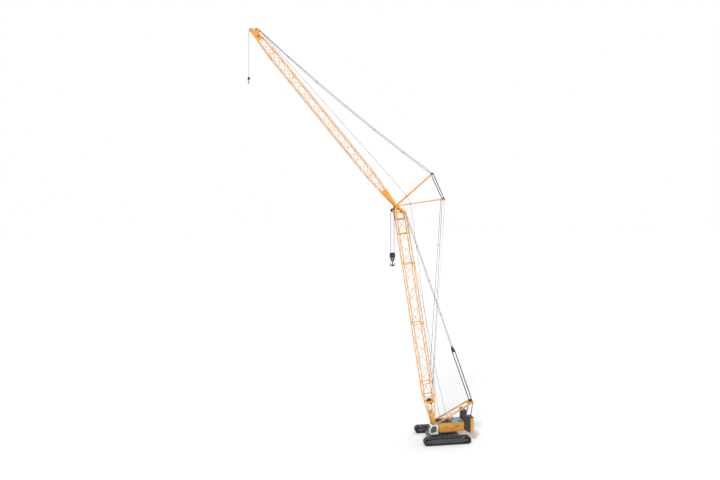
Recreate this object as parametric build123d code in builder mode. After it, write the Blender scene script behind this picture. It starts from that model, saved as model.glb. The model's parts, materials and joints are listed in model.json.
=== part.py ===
"""Lattice-boom crawler crane with a luffing jib, as a 1:10 scale model.

Model millimetres: 100 mm here is 1 m on the full-size crane. The origin is on the ground at
the slewing axis, +X is forward, +Y is the crane's left and +Z is up. The crane stands in its
working position: boom at 81 degrees, jib at 50.3 degrees, hooks hanging plumb.
"""

import os
from math import atan2, cos, degrees, hypot, pi, radians, sin

from build123d import *

os.makedirs("parts", exist_ok=True)

# ---- driving dimensions, in model millimetres -------------------------------------------
# undercarriage
track_gauge = 720.0  # centre to centre of the two tracks
track_length = 940.0  # over the shoes
track_height = 145.0
shoe_width = 120.0
shoe_count = 72  # shoes in one track loop
shoe_thickness = 9.0
shoe_gap = 3.2  # between neighbouring shoes
link_thickness = 7.0  # chain band under the shoes
running_gap = 0.4  # between a wheel and the chain it runs on
roller_count = 9
roller_radius = 13.0
roller_pitch = 76.0
wheel_width = 44.0  # idler and sprocket
frame_width = 76.0  # track frame across its side plates
fork_thickness = 8.0
carbody_length = 330.0
carbody_width = 300.0
carbody_bottom = 50.0
carbody_top = 135.0
beam_length = 96.0  # cross beam, along the crane
beam_spacing = 220.0
ballast_length = 140.0
ballast_width = 290.0
ballast_height = 62.0
ring_radius = 140.0
ring_height = 25.0
# superstructure
deck_bottom = 172.0
deck_thickness = 12.0
deck_half_width = 98.0
deck_front = 235.0
deck_rear = -552.0
girder_inner = 82.0  # inner face of each girder plate, from the middle
girder_thickness = 12.0
girder_height = 56.0
foot_x, foot_z = 186.0, 273.0  # boom foot pin
foot_pin_radius = 11.0
foot_boss_radius = 26.0
ear_gap = 2.0  # between the foot and each ear
ear_thickness = 10.0
pin_clearance = 0.05
house_front = 112.0
house_split = -188.0  # front of the engine room
house_rear = -412.0
house_inner = 118.0  # clear of the A-frame legs
house_half_width = 165.0
house_top = 332.0
house_wall = 5.0
roof_height = 12.0
roof_shoulder = 7.0
door_length = 176.0
door_height = 112.0
door_gap = 1.0
cab_rear, cab_front = 150.0, 332.0
cab_inner, cab_outer = 138.0, 258.0
cab_floor, cab_roof = 158.0, 344.0
platform_height = 8.0
cab_wall = 5.0
glass_thickness = 1.6
slab_count = 5
slab_height = 56.5
slab_gap = 1.5
slab_radius = 30.0  # rear outer corner
slab_inner, slab_outer = 132.0, 345.0  # across, from the middle
slab_front = -416.0  # at the inner side
slab_outer_front = -479.0  # the front face is slanted
slab_rear = -558.0
# A-frame
frame_foot_x, frame_foot_z = 110.0, 330.0
frame_head_x, frame_head_z = -603.0, 700.0
frame_pin_radius = 7.0
frame_leg_width = 14.0
frame_leg_height = 24.0
frame_leg_gap = 3.0  # between girder and leg
rear_strut_gap = 2.0  # between leg and rear strut
rear_strut_thickness = 12.0
frame_sheave_radius = 30.0
# boom
boom_angle = 81.0
boom_depth = 200.0  # between chord centres, fore and aft
boom_width = 216.0  # between chord centres, across
boom_chord = 7.5  # chord tube radius
boom_lacing = 7.0
base_knee = (130.0, 29.0)  # along the boom, half depth; the foot widens from here
base_plate_end = (260.0, 48.0)
base_taper_end = 600.0
base_end = 860.0
boom_sections = (("boom_section_1", 1200.0, 6), ("boom_section_2", 1200.0, 6), ("boom_section_3", 600.0, 3))
head_lattice = 290.0
foot_width = 20.0  # boom foot plate, across
collar_radius = 10.0
collar_length = 12.0
# jib
jib_angle = 50.3
jib_pivot_t, jib_pivot_f = 4420.0, 65.0  # along the boom and forward of its centre line
jib_pin_radius = 9.0
jib_depth = 150.0
jib_width = 174.0
jib_chord = 5.5
jib_lacing = 5.5
jib_plate_end = 390.0
jib_base_end = 800.0
jib_sections = (("jib_section_1", 1200.0, 8), ("jib_section_2", 1200.0, 8), ("jib_section_3", 600.0, 4))
jib_head_lattice = 360.0
jib_sheave_s, jib_sheave_g = 4382.0, 29.0
jib_sheave_radius = 42.0
# jib struts
strut_length = 980.0  # both, from the jib pivot to the strut tip
front_strut_angle = 139.1
rear_strut_angle = 171.7
front_strut_y, rear_strut_y = 55.5, 70.0  # leg middles at the jib pivot
strut_head_y = 96.0  # leg middles at the rear strut's wider head
strut_leg_width = 11.0
strut_leg_height = 17.0
strut_sheave_radius = 24.0
strut_axle_radius = 6.0
# stays and hoists
stay_radius = 3.2
stay_pin_radius = 5.0
boom_stay_y = 50.0
eye_thickness = 8.0
eye_radius = 10.0
boom_stay_t, boom_stay_f = 4265.0, -105.0
tackle_length = 1100.0
rear_stay_low_y, rear_stay_high_y = 122.0, 48.0  # the rear stays run inward to the strut
rear_stay_pin = 944.0  # along the rear strut
jib_stay_y = 66.0
jib_stay_sag = 65.0  # at the middle of the span
main_sheave_t, main_sheave_f = 4351.0, 145.0
main_sheave_radius = 34.0
main_block_drop = 888.0
fall_radius = 1.5
rope_seat = 0.4  # how far a rope's middle sits inside the sheave's rim
jib_line_drop = 940.0

# ---- derived places ---------------------------------------------------------------------
end_radius = track_height / 2
axle_spacing = track_length - track_height
wheel_radius = end_radius - shoe_thickness - link_thickness - running_gap
deck_top = deck_bottom + deck_thickness
girder_outer = girder_inner + girder_thickness
foot_inner = boom_width / 2 - foot_width / 2
foot_outer = boom_width / 2 + foot_width / 2
section_end = base_end + sum(length for _, length, _ in boom_sections)
stack_bottom = deck_bottom + deck_thickness + 2.0
leg_inner = girder_outer + frame_leg_gap
leg_outer = leg_inner + frame_leg_width
strut_inner = leg_outer + rear_strut_gap
strut_outer = strut_inner + rear_strut_thickness
rail_top = deck_top + girder_height


class Line:
    """A straight member seen from the side: along it is t, square to it and forward is f."""

    def __init__(self, x, z, angle):
        self.x, self.z, self.angle = x, z, angle
        self.along = Vector(cos(radians(angle)), 0, sin(radians(angle)))
        self.forward = Vector(sin(radians(angle)), 0, -cos(radians(angle)))

    def point(self, t, f=0.0, y=0.0):
        return Vector(self.x, y, self.z) + self.along * t + self.forward * f

    def side(self, y):
        """A sketch plane across the crane at y, with local x along and local y forward."""
        return Plane(origin=self.point(0, 0, y), x_dir=self.along, z_dir=(0, 1, 0))


boom = Line(foot_x, foot_z, boom_angle)
jib_pivot = boom.point(jib_pivot_t, jib_pivot_f)
jib = Line(jib_pivot.X, jib_pivot.Z, jib_angle)
front_strut = Line(jib_pivot.X, jib_pivot.Z, front_strut_angle)
rear_strut = Line(jib_pivot.X, jib_pivot.Z, rear_strut_angle)
front_tip = front_strut.point(strut_length)
rear_tip = rear_strut.point(strut_length)
main_sheave = boom.point(main_sheave_t, main_sheave_f)
jib_sheave = jib.point(jib_sheave_s, jib_sheave_g)
frame_run = hypot(frame_head_x - frame_foot_x, frame_head_z - frame_foot_z)
frame_angle = degrees(atan2(frame_head_z - frame_foot_z, frame_head_x - frame_foot_x))
a_frame = Line(frame_foot_x, frame_foot_z, frame_angle)
frame_head = a_frame.point(frame_run)
stay_pin = boom.point(boom_stay_t, boom_stay_f)


def line_between(start, end):
    """The Line from one side-view point to another, and its length."""
    run = end - start
    return Line(start.X, start.Z, degrees(atan2(run.Z, run.X))), run.length


def side_plane(y):
    """A sketch plane across the crane at y, with local x forward and local y up."""
    return Plane(origin=(0, y, 0), x_dir=(1, 0, 0), z_dir=(0, -1, 0))


def save(builder, name):
    """Labels a finished sub-part and writes its STEP file."""
    builder.part.label = name
    export_step(builder.part, f"parts/{name}.step")


# ---- shared shapes ----------------------------------------------------------------------
def bar(start, end, radius, sides=8):
    """A tube between two points, drawn with flat sides."""
    with BuildSketch(Plane(origin=start, z_dir=end - start)) as section:
        RegularPolygon(radius, sides)
    return extrude(section.sketch, amount=(end - start).length, mode=Mode.PRIVATE)


def inset(corners, distance):
    """The triangle whose sides lie that far inside the given one."""
    a, b, c = corners
    sides = ((b - c).length, (c - a).length, (a - b).length)
    middle = (a * sides[0] + b * sides[1] + c * sides[2]) / sum(sides)
    inradius = (b - a).cross(c - a).length / sum(sides)
    return [middle + (p - middle) * (1 - distance / inradius) for p in corners]


def truss_face(a0, a1, b0, b1, bays, lacing):
    """Zigzag lacing between two chords, a0 to a1 and b0 to b1, as one flat panel."""
    plane = Plane(origin=a0, x_dir=a1 - a0, z_dir=(a1 - a0).cross(b0 - a0))
    chords = [[plane.to_local_coords(p) for p in chord] for chord in ((a0, a1), (b0, b1))]
    joints = []
    for k in range(bays + 1):
        start, end = chords[k % 2]
        joints.append(start + (end - start) * (k / bays))
    far_end = chords[(bays + 1) % 2][1]
    outline = joints[:1] + [chords[0][1], chords[1][1], chords[1][0]]
    chain = [chords[1][0]] + joints + [far_end]
    with BuildSketch(plane) as panel:
        Polygon(*[(p.X, p.Y) for p in outline], align=None)
        for k in range(len(chain) - 2):
            window = inset(chain[k : k + 3], lacing / 2)
            Polygon(*[(p.X, p.Y) for p in window], align=None, mode=Mode.SUBTRACT)
    return extrude(panel.sketch, amount=lacing / 2, both=True, mode=Mode.PRIVATE)


def frustum_corners(member, t, depth, width):
    """The four chord centres of a lattice section at t, in order round the section."""
    return [
        member.point(t, f * depth / 2, y * width / 2)
        for f, y in ((1, 1), (1, -1), (-1, -1), (-1, 1))
    ]


def lattice(member, start, end, bays, chord, lacing):
    """Chords and lacing between two ends, each (t, depth, width)."""
    near, far = frustum_corners(member, *start), frustum_corners(member, *end)
    pieces = [bar(p, q, chord) for p, q in zip(near, far)]
    for k in range(4):
        m = (k + 1) % 4
        pieces.append(truss_face(near[k], far[k], near[m], far[m], bays, lacing))
    return pieces


def collars(member, t, depth, width, direction):
    """The thicker pin connectors at one end of a lattice section."""
    reach = member.along * (collar_length * direction)
    return [bar(p, p + reach, collar_radius, 6) for p in frustum_corners(member, t, depth, width)]


def plate(plane, outline, thickness, holes=()):
    """A flat plate from an outline, with round holes (x, y, radius)."""
    with BuildSketch(plane) as face:
        Polygon(*outline, align=None)
        for x, y, radius in holes:
            with Locations((x, y)):
                Circle(radius, mode=Mode.SUBTRACT)
    return extrude(face.sketch, amount=thickness, mode=Mode.PRIVATE)


def disc(centre, y_low, y_high, radius):
    """A round piece about a crosswise axis, from y_low to y_high."""
    with BuildSketch(Plane(origin=(centre.X, y_low, centre.Z), z_dir=(0, 1, 0))) as face:
        Circle(radius)
    return extrude(face.sketch, amount=y_high - y_low, mode=Mode.PRIVATE)


def eye(centre, y, radius, bore):
    """A stay's flat eye about a crosswise pin, at y."""
    ring = disc(centre, y - eye_thickness / 2, y + eye_thickness / 2, radius)
    return ring - disc(centre, y - eye_thickness, y + eye_thickness, bore)


def stay_run(line, start, end, y, bores, couplings, radius=0.0):
    """One stay between two pinned eyes, with thicker couplings at the given places."""
    radius = radius or stay_radius
    pieces = []
    reach = eye_radius - 3.0
    pieces.append(bar(line.point(start + reach, 0, y), line.point(end - reach, 0, y), radius, 6))
    for t, bore in zip((start, end), bores):
        pieces.append(eye(line.point(t), y, eye_radius, bore) if bore else
                      disc(line.point(t), y - eye_thickness / 2 + 0.5, y + eye_thickness / 2 - 0.5, eye_radius))
    for t in couplings:
        pieces.append(bar(line.point(t - 24, 0, y), line.point(t + 24, 0, y), 2 * radius, 6))
    return pieces


def mirrored(pieces):
    """The pieces and their mirror images on the other side of the crane."""
    return pieces + [mirror(p, about=Plane.XZ, mode=Mode.PRIVATE) for p in pieces]


def sheave_set(centre, radius, count, spacing, bore):
    """Grooved sheaves side by side on one hub."""
    half = spacing * (count - 1) / 2 + spacing * 0.36
    with BuildSketch(Plane(origin=(centre.X, 0, centre.Z), x_dir=(0, 1, 0), z_dir=(1, 0, 0))) as profile:
        with BuildLine():
            points = [(-half, bore), (-half, radius * 0.45)]
            for k in range(count):
                y = (k - (count - 1) / 2) * spacing
                rim = spacing * 0.3
                points += [(y - rim, radius * 0.45), (y - rim, radius), (y, radius - 3.0)]
                points += [(y + rim, radius), (y + rim, radius * 0.45)]
            points += [(half, radius * 0.45), (half, bore)]
            Polyline(*points, close=True)
        make_face()
    axis = Axis((centre.X, 0, centre.Z), (0, 1, 0))
    return revolve(profile.sketch, axis=axis, mode=Mode.PRIVATE)


# ---- undercarriage ----------------------------------------------------------------------
def loop_point(distance, radius):
    """A point on the track's oval, that far along it from the middle of the ground run."""
    straight, arc = axle_spacing, pi * end_radius
    distance = (distance + straight / 2) % (2 * (straight + arc))
    if distance < straight:
        return distance - straight / 2, end_radius - radius
    distance -= straight
    if distance < arc:
        turn = distance / end_radius
        return straight / 2 + radius * sin(turn), end_radius - radius * cos(turn)
    distance -= arc
    if distance < straight:
        return straight / 2 - distance, end_radius + radius
    turn = (distance - straight) / end_radius
    return -straight / 2 - radius * sin(turn), end_radius + radius * cos(turn)


def tracks():
    """Both tracks: a chain band and its flat shoes, each a fixed loop."""
    shoe_pitch = 2 * (axle_spacing + pi * end_radius) / shoe_count
    half = (shoe_pitch - shoe_gap) / 2
    band = end_radius - shoe_thickness
    with BuildPart() as belt:
        for y in track_middles:
            with BuildSketch(side_plane(y + shoe_width / 2)):
                with Locations((0, end_radius)):
                    SlotCenterToCenter(axle_spacing, 2 * (band + 1.0))
                for k in range(shoe_count):
                    middle = (k + 0.5) * shoe_pitch
                    outer = [loop_point(middle + d, end_radius) for d in (-half, half)]
                    inner = [loop_point(middle + d, band - 1.0) for d in (half, -half)]
                    Polygon(*outer, *inner, align=None)
                with Locations((0, end_radius)):
                    SlotCenterToCenter(axle_spacing, 2 * (band - link_thickness), mode=Mode.SUBTRACT)
            extrude(amount=shoe_width)
    save(belt, "tracks")


def track_frames():
    """The side frames that carry the wheels: a box, roller skirts and end forks."""
    low, high = 46.0, 114.0
    half_box = axle_spacing / 2 - wheel_radius - 8.0
    skirt = roller_radius + shoe_thickness + link_thickness + running_gap
    with BuildPart() as frame:
        for y in track_middles:
            with BuildSketch(side_plane(y + frame_width / 2)):
                Polygon(
                    (-half_box, low + 12), (-half_box + 24, low), (half_box - 24, low), (half_box, low + 12),
                    (half_box, high - 16), (half_box - 40, high), (-half_box + 40, high), (-half_box, high - 16),
                    align=None,
                )
            extrude(amount=frame_width)
            for side in (y + frame_width / 2, y - frame_width / 2 + fork_thickness):
                with BuildSketch(side_plane(side)):
                    with Locations((0, end_radius)):
                        SlotCenterToCenter(axle_spacing, 44.0)
                    with Locations((0, (low + skirt) / 2)):
                        Rectangle(2 * half_box - 70, low - skirt + 14)
                extrude(amount=fork_thickness)
    save(frame, "track_frames")


def track_wheels():
    """Per track, the idler in front, the sprocket behind and the rollers, as separate solids."""
    tooth_count = 13
    hub = frame_width / 2 - fork_thickness - 1.0
    with BuildPart() as wheels:
        for y in track_middles:
            front = Vector(axle_spacing / 2, 0, end_radius)
            rear = Vector(-axle_spacing / 2, 0, end_radius)
            for centre in (front, rear):
                add(disc(centre, y - wheel_width / 2, y + wheel_width / 2, wheel_radius))
                add(disc(centre, y - hub, y + hub, 20.0))
            for face in (y + wheel_width / 2, y - wheel_width / 2 + 6.0):
                with BuildSketch(side_plane(face)):
                    with Locations((front.X, front.Z), (rear.X, rear.Z)):
                        Circle(wheel_radius - 9.0)
                        Circle(24.0, mode=Mode.SUBTRACT)
                extrude(amount=6.0, mode=Mode.SUBTRACT)
            with BuildSketch(side_plane(y + wheel_width / 2)):
                with Locations((rear.X, rear.Z)):
                    with PolarLocations(wheel_radius, tooth_count):
                        Circle(4.2)
            extrude(amount=wheel_width, mode=Mode.SUBTRACT)
            roller_z = shoe_thickness + link_thickness + running_gap + roller_radius
            for k in range(roller_count):
                x = (k - (roller_count - 1) / 2) * roller_pitch
                add(disc(Vector(x, 0, roller_z), y - 27, y + 27, roller_radius))
            carrier_z = track_height - shoe_thickness - link_thickness - running_gap - 6.0
            for x in (-150.0, 150.0):
                add(disc(Vector(x, 0, carrier_z), y - 22, y + 22, 6.0))
    save(wheels, "track_wheels")


def carbody():
    """The centre frame: a box, two cross beams to the track frames and the ring seat."""
    reach = track_gauge / 2 - frame_width / 2
    with BuildPart() as body:
        with BuildSketch(Plane.XY.offset(carbody_bottom)):
            Rectangle(carbody_length, carbody_width)
            chamfer(vertices(), 30.0)
        extrude(amount=carbody_top - carbody_bottom)
        for x in (-beam_spacing / 2, beam_spacing / 2):
            with BuildSketch(Plane(origin=(x - beam_length / 2, 0, 0), x_dir=(0, 1, 0), z_dir=(1, 0, 0))):
                Polygon(
                    (-reach, carbody_bottom + 8), (reach, carbody_bottom + 8), (reach, 110.0),
                    (carbody_width / 2, carbody_top - 6), (-carbody_width / 2, carbody_top - 6), (-reach, 110.0),
                    align=None,
                )
            extrude(amount=beam_length)
        with BuildSketch(Plane.XY.offset(carbody_top)):
            Circle(ring_radius + 12.0)
        extrude(amount=deck_bottom - ring_height - carbody_top)
    save(body, "carbody")


def ballast():
    """The blocks of central ballast hung on both ends of the carbody."""
    reach = (carbody_length + ballast_length) / 2
    with BuildPart() as block:
        for x in (reach, -reach):
            with BuildSketch(Plane.XY.offset(carbody_bottom - 12.0)):
                with Locations((x, 0)):
                    Rectangle(ballast_length, ballast_width)
                    chamfer(vertices(), 14.0)
            extrude(amount=ballast_height)
        chamfer(block.edges().group_by(Axis.Z)[-1], 5.0)
    save(block, "carbody_ballast")


def slew_ring():
    """The toothed outer ring of the slewing bearing."""
    with BuildPart() as ring:
        with BuildSketch(Plane.XY.offset(deck_bottom - ring_height)):
            Circle(ring_radius)
            with PolarLocations(ring_radius, 48):
                Rectangle(6.0, 9.0)
            Circle(ring_radius - 30.0, mode=Mode.SUBTRACT)
        extrude(amount=ring_height - 14.0)
    save(ring, "slew_ring")


# ---- superstructure ---------------------------------------------------------------------
def main_frame():
    """Turntable, deck, girder plates with the boom foot and A-frame pins, and the cab platform."""
    ear_outer = foot_outer + ear_gap + ear_thickness
    ear_rear = 148.0
    with BuildPart() as frame:
        with BuildSketch(Plane.XY.offset(deck_bottom - 12.0)):
            Circle(ring_radius - 8.0)
        extrude(amount=12.0)
        with BuildSketch(Plane.XY.offset(deck_bottom)):
            with Locations(((deck_front + deck_rear) / 2, 0)):
                Rectangle(deck_front - deck_rear, 2 * deck_half_width)
            with Locations(((deck_front + ear_rear) / 2, 0)):
                Rectangle(deck_front - ear_rear, 2 * ear_outer)
        extrude(amount=deck_thickness)
        with BuildSketch(Plane.XY.offset(deck_bottom - 7.0)):
            for x in (-165.0, house_rear + 12):
                with Locations((x, 0)):
                    Rectangle(16.0, 2 * house_half_width - 8)
            for side in (1, -1):
                with Locations((house_front - 9, side * (house_half_width - 4 + 100) / 2)):
                    Rectangle(16.0, house_half_width - 4 - 100)
        extrude(amount=7.0)
        with BuildSketch(Plane.XY.offset(deck_bottom)):
            for side in (1, -1):
                with Locations((house_front - 9, side * 108.0)):
                    Rectangle(16.0, 20.0)
        extrude(amount=2.0)
        outline = (
            (deck_rear, deck_bottom), (deck_rear, rail_top - 12), (house_rear, rail_top), (40.0, rail_top),
            (frame_foot_x - 15, frame_foot_z + 8), (frame_foot_x + 15, frame_foot_z + 8),
            (foot_x + 20, foot_z + 17), (deck_front - 8, rail_top), (deck_front, deck_bottom),
        )
        for y in (girder_outer, -girder_inner):
            with BuildSketch(side_plane(y)):
                Polygon(*outline, align=None)
                with Locations((foot_x, foot_z)):
                    Circle(foot_boss_radius)
                with Locations((frame_foot_x, frame_foot_z)):
                    Circle(18.0)
            extrude(amount=girder_thickness)
        for y in (ear_outer, -foot_outer - ear_gap):
            with BuildSketch(side_plane(y)):
                Polygon(
                    (ear_rear, deck_bottom), (deck_front, deck_bottom), (foot_x + 25, foot_z), (foot_x - 25, foot_z),
                    align=None,
                )
                with Locations((foot_x, foot_z)):
                    Circle(foot_boss_radius)
            extrude(amount=ear_thickness)
        with BuildSketch(Plane.XY.offset(cab_floor - platform_height)):
            with Locations(((ear_rear + deck_front) / 2, (foot_outer + cab_outer - 8) / 2)):
                Rectangle(deck_front - ear_rear, cab_outer - 8 - foot_outer)
        extrude(amount=platform_height)
        with BuildSketch(Plane.XY.offset(cab_floor)):
            with Locations(((ear_rear + deck_front) / 2, foot_outer + 6)):
                Rectangle(deck_front - ear_rear, 12.0)
        extrude(amount=deck_bottom - cab_floor)
        rear_x, rear_z = deck_rear + 35.0, rail_top - 30.0
        foot_pin = disc(Vector(foot_x, 0, foot_z), girder_inner, ear_outer + 3.0, foot_pin_radius)
        frame_pin = disc(Vector(frame_foot_x, 0, frame_foot_z), girder_inner, leg_outer + 3.0, frame_pin_radius)
        strut_pin = disc(Vector(rear_x, 0, rear_z), girder_inner, strut_outer + 3.0, frame_pin_radius)
        add(mirrored([foot_pin, frame_pin, strut_pin]))
        for x, z in ((frame_foot_x, frame_foot_z - 22), (deck_rear + 12, deck_top + 20)):
            add(disc(Vector(x, 0, z), -girder_outer, girder_outer, 9.0))
    save(frame, "main_frame")


def winches():
    """The two hoist winches and the luffing winch: grooved drums on bearing stands."""
    half = winch_half
    with BuildPart() as drum:
        for x, z, radius in winch_table:
            with BuildSketch(Plane(origin=(x, 0, z), x_dir=(0, 1, 0), z_dir=(1, 0, 0))):
                points = [(-half, 0), (-half, radius), (-half + 4, radius)]
                steps = 12
                width = (2 * half - 8) / steps
                for k in range(steps):
                    points += [(-half + 4 + k * width, radius * 0.74), (-half + 4 + (k + 0.5) * width, radius * 0.77)]
                points += [(half - 4, radius * 0.74), (half - 4, radius), (half, radius), (half, 0)]
                Polygon(*points, align=None)
            revolve(axis=Axis((x, 0, z), (0, 1, 0)))
            for y in (-half - 8, half):
                with BuildSketch(side_plane(y + 8)):
                    Polygon((x - 26, deck_top), (x + 26, deck_top), (x + 12, z + 10), (x - 12, z + 10), align=None)
                extrude(amount=8)
    save(drum, "winches")


def side_houses():
    """The closed equipment housings beside the winches, with pressed panel edges."""
    inner, outer = house_inner, house_half_width
    with BuildPart() as house:
        for side in (1, -1):
            y = (inner + outer) / 2 * side
            with BuildSketch(Plane.XY.offset(deck_bottom)):
                with Locations(((house_front + house_split) / 2, y)):
                    Rectangle(house_front - house_split - 1.0, outer - inner)
            extrude(amount=house_top - deck_bottom)
            panels = 3
            pitch = (house_front - house_split) / panels
            face = Plane(origin=(0, outer * side, 0), x_dir=(1, 0, 0), z_dir=(0, side, 0))
            with BuildSketch(face):
                for k in range(panels):
                    middle = Vector(house_split + (k + 0.5) * pitch, outer * side, (deck_bottom + house_top) / 2)
                    local = face.to_local_coords(middle)
                    with Locations((local.X, local.Y)):
                        Rectangle(pitch - 8.0, 118.0)
                        Rectangle(pitch - 11.0, 115.0, mode=Mode.SUBTRACT)
            extrude(amount=-1.5, mode=Mode.SUBTRACT)
        chamfer(house.edges().filter_by(Axis.X).group_by(Axis.Z)[-1], 8.0)
    save(house, "side_houses")


def engine_room():
    """The hollow engine housing across the rear, open at both sides for its doors."""
    length = house_split - house_rear
    middle = (house_split + house_rear) / 2
    skirt_inner = deck_half_width + 1.0
    skirt_middle = (skirt_inner + house_half_width) / 2
    with BuildPart() as room:
        with BuildSketch(Plane.XY.offset(rail_top)):
            with Locations((middle, 0)):
                Rectangle(length, 2 * house_half_width)
        extrude(amount=house_top - rail_top)
        with BuildSketch(Plane.XY.offset(deck_bottom)):
            with Locations((middle, skirt_middle), (middle, -skirt_middle)):
                Rectangle(length, house_half_width - skirt_inner)
        extrude(amount=rail_top - deck_bottom)
        with BuildSketch(Plane.XY.offset(rail_top + house_wall)):
            with Locations((middle, 0)):
                Rectangle(length - 2 * house_wall, 2 * (house_half_width - house_wall))
        extrude(amount=house_top - rail_top - 2 * house_wall, mode=Mode.SUBTRACT)
        with BuildSketch(Plane.XY.offset(deck_bottom + house_wall)):
            with Locations((middle, skirt_middle), (middle, -skirt_middle)):
                Rectangle(length - 2 * house_wall, house_half_width - skirt_inner - 2 * house_wall)
        extrude(amount=rail_top - deck_bottom, mode=Mode.SUBTRACT)
        for y in (house_half_width + 1, -house_half_width + house_wall + 1):
            with BuildSketch(side_plane(y)):
                with Locations((middle, door_middle_z())):
                    Rectangle(door_length + 2 * door_gap, door_height + 2 * door_gap)
            extrude(amount=house_wall + 2, mode=Mode.SUBTRACT)
    save(room, "engine_room")


def door_middle_z():
    """Height of the middle of an engine room door."""
    return (deck_bottom + house_top) / 2 + 2.0


def engine_door(name, side):
    """A louvred engine room door, hinged at its rear edge."""
    middle = (house_split + house_rear) / 2
    outer = house_half_width * side
    with BuildPart() as door:
        with BuildSketch(Plane(origin=(0, outer, 0), x_dir=(1, 0, 0), z_dir=(0, -side, 0))) as face:
            sign = -1 if side < 0 else 1
            with Locations((middle, door_middle_z() * sign)):
                Rectangle(door_length, door_height)
        extrude(amount=house_wall)
        hinge_x = middle - door_length / 2 + 3.0
        for z in (door_middle_z() - 36, door_middle_z() + 36):
            with BuildSketch(Plane.XY.offset(z - 8)):
                with Locations((hinge_x, outer + 1.5 * side)):
                    Circle(3.0)
            extrude(amount=16)
        slot = Plane(origin=(0, outer, 0), x_dir=(1, 0, 0), z_dir=(0, -side, 0))
        with BuildSketch(slot):
            for k in range(6):
                with Locations((middle + 26, (door_middle_z() + 34 - k * 7) * sign)):
                    Rectangle(84, 3)
        extrude(amount=house_wall, mode=Mode.SUBTRACT)
    save(door, name)


def crowned_roof():
    """The engine roof's solid: flat underneath and crowned across the crane."""
    shoulder = roof_shoulder
    with BuildSketch(Plane(origin=(house_rear, 0, 0), x_dir=(0, 1, 0), z_dir=(1, 0, 0))) as profile:
        with BuildLine():
            left, right = -house_half_width, house_half_width
            Polyline((right, house_top + shoulder), (right, house_top), (left, house_top), (left, house_top + shoulder))
            ThreePointArc((left, house_top + shoulder), (0, house_top + roof_height), (right, house_top + shoulder))
        make_face()
    return extrude(profile.sketch, amount=house_split - house_rear, mode=Mode.PRIVATE)


def engine_roof():
    """The grey roof over the engine room."""
    with BuildPart() as roof:
        add(crowned_roof())
    save(roof, "engine_roof")


def exhaust():
    """The silencer and its stack on the engine room roof."""
    x, y, z = house_split - 44.0, -60.0, house_top + 5.0
    with BuildPart() as pipe:
        with BuildSketch(Plane.XY.offset(z)):
            with Locations((x, y)):
                Circle(16.0)
        extrude(amount=34.0)
        with BuildSketch(Plane.XY.offset(z + 34.0)):
            with Locations((x, y)):
                Circle(8.0)
        extrude(amount=34.0)
        with BuildSketch(Plane.XY.offset(z + 68.0)):
            with Locations((x, y)):
                Circle(6.0)
        extrude(amount=-20.0, mode=Mode.SUBTRACT)
        add(crowned_roof(), mode=Mode.SUBTRACT)
    save(pipe, "exhaust")


def engine_block():
    """A plain block at the engine's real size and place."""
    middle = (house_split + house_rear) / 2
    with BuildPart() as block:
        with BuildSketch(Plane.XY.offset(rail_top + house_wall)):
            with Locations((middle, 0)):
                Rectangle(110.0, 190.0)
                chamfer(vertices(), 8.0)
        extrude(amount=72.0)
    save(block, "engine_block")


def cab_outline(margin):
    """The cab's side view, drawn inward by a margin: sloping nose, curved windscreen."""
    rear, front = cab_rear + margin, cab_front - margin
    floor, roof = cab_floor + margin, cab_roof - margin
    with BuildLine() as edge:
        Polyline((front - 62, roof), (rear + 14, roof), (rear, roof - 14), (rear, floor), (front - 46, floor), (front - 4, floor + 42))
        ThreePointArc((front - 4, floor + 42), (front - 8, floor + 109), (front - 62, roof))
    return edge.line


def cab_shell():
    """The hollow cab, with its door opening on the left and its windows cut."""
    with BuildPart() as cab:
        with BuildSketch(side_plane(cab_outer)) as outer:
            make_face(cab_outline(0.0))
        extrude(amount=cab_outer - cab_inner)
        with BuildSketch(side_plane(cab_outer - cab_wall)):
            make_face(cab_outline(cab_wall))
        extrude(amount=cab_outer - cab_inner - 2 * cab_wall, mode=Mode.SUBTRACT)
        with BuildSketch(side_plane(cab_outer + 1)):
            make_face(offset(cab_door_face(), amount=door_gap, kind=Kind.INTERSECTION, mode=Mode.PRIVATE).wire())
        extrude(amount=cab_wall + 2, mode=Mode.SUBTRACT)
        with BuildSketch(side_plane(cab_inner + cab_wall + 1)):
            make_face(cab_window_face().wire())
        extrude(amount=cab_wall + 2, mode=Mode.SUBTRACT)
        y = (cab_inner + cab_outer) / 2
        glass_width = cab_outer - cab_inner - 2 * cab_wall - 6
        with BuildSketch(Plane(origin=(cab_front + 1, y, 0), x_dir=(0, 1, 0), z_dir=(1, 0, 0))):
            with Locations((0, (cab_floor + cab_roof) / 2 + 10)):
                Rectangle(glass_width, cab_roof - cab_floor - 72)
        extrude(amount=-42, mode=Mode.SUBTRACT)
        with BuildSketch(Plane(origin=(cab_rear - 1, y, 0), x_dir=(0, 1, 0), z_dir=(1, 0, 0))):
            with Locations((0, cab_roof - 62)):
                Rectangle(glass_width - 14, 62)
        extrude(amount=cab_wall + 2, mode=Mode.SUBTRACT)
    save(cab, "cab_shell")


def cab_door_face():
    """The door's outline on the cab's left side."""
    with BuildSketch(side_plane(cab_outer)) as face:
        with BuildLine():
            low, high = cab_floor + 12, cab_roof - 10
            rear, front = cab_rear + 26, cab_front - 20
            Polyline((front - 56, high), (rear, high), (rear, low), (front - 40, low), (front, low + 44))
            ThreePointArc((front, low + 44), (front - 7, low + 104), (front - 56, high))
        make_face()
    return face.sketch.face()


def cab_window_face():
    """The side window's outline, inside the door's."""
    with BuildSketch(side_plane(cab_outer)) as face:
        with BuildLine():
            low, high = cab_floor + 50, cab_roof - 19
            rear, front = cab_rear + 36, cab_front - 29
            Polyline((front - 50, high), (rear, high), (rear, low + 12), (front - 26, low - 16), (front, low + 8))
            ThreePointArc((front, low + 8), (front - 7, low + 66), (front - 50, high))
        make_face()
    return face.sketch.face()


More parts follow.
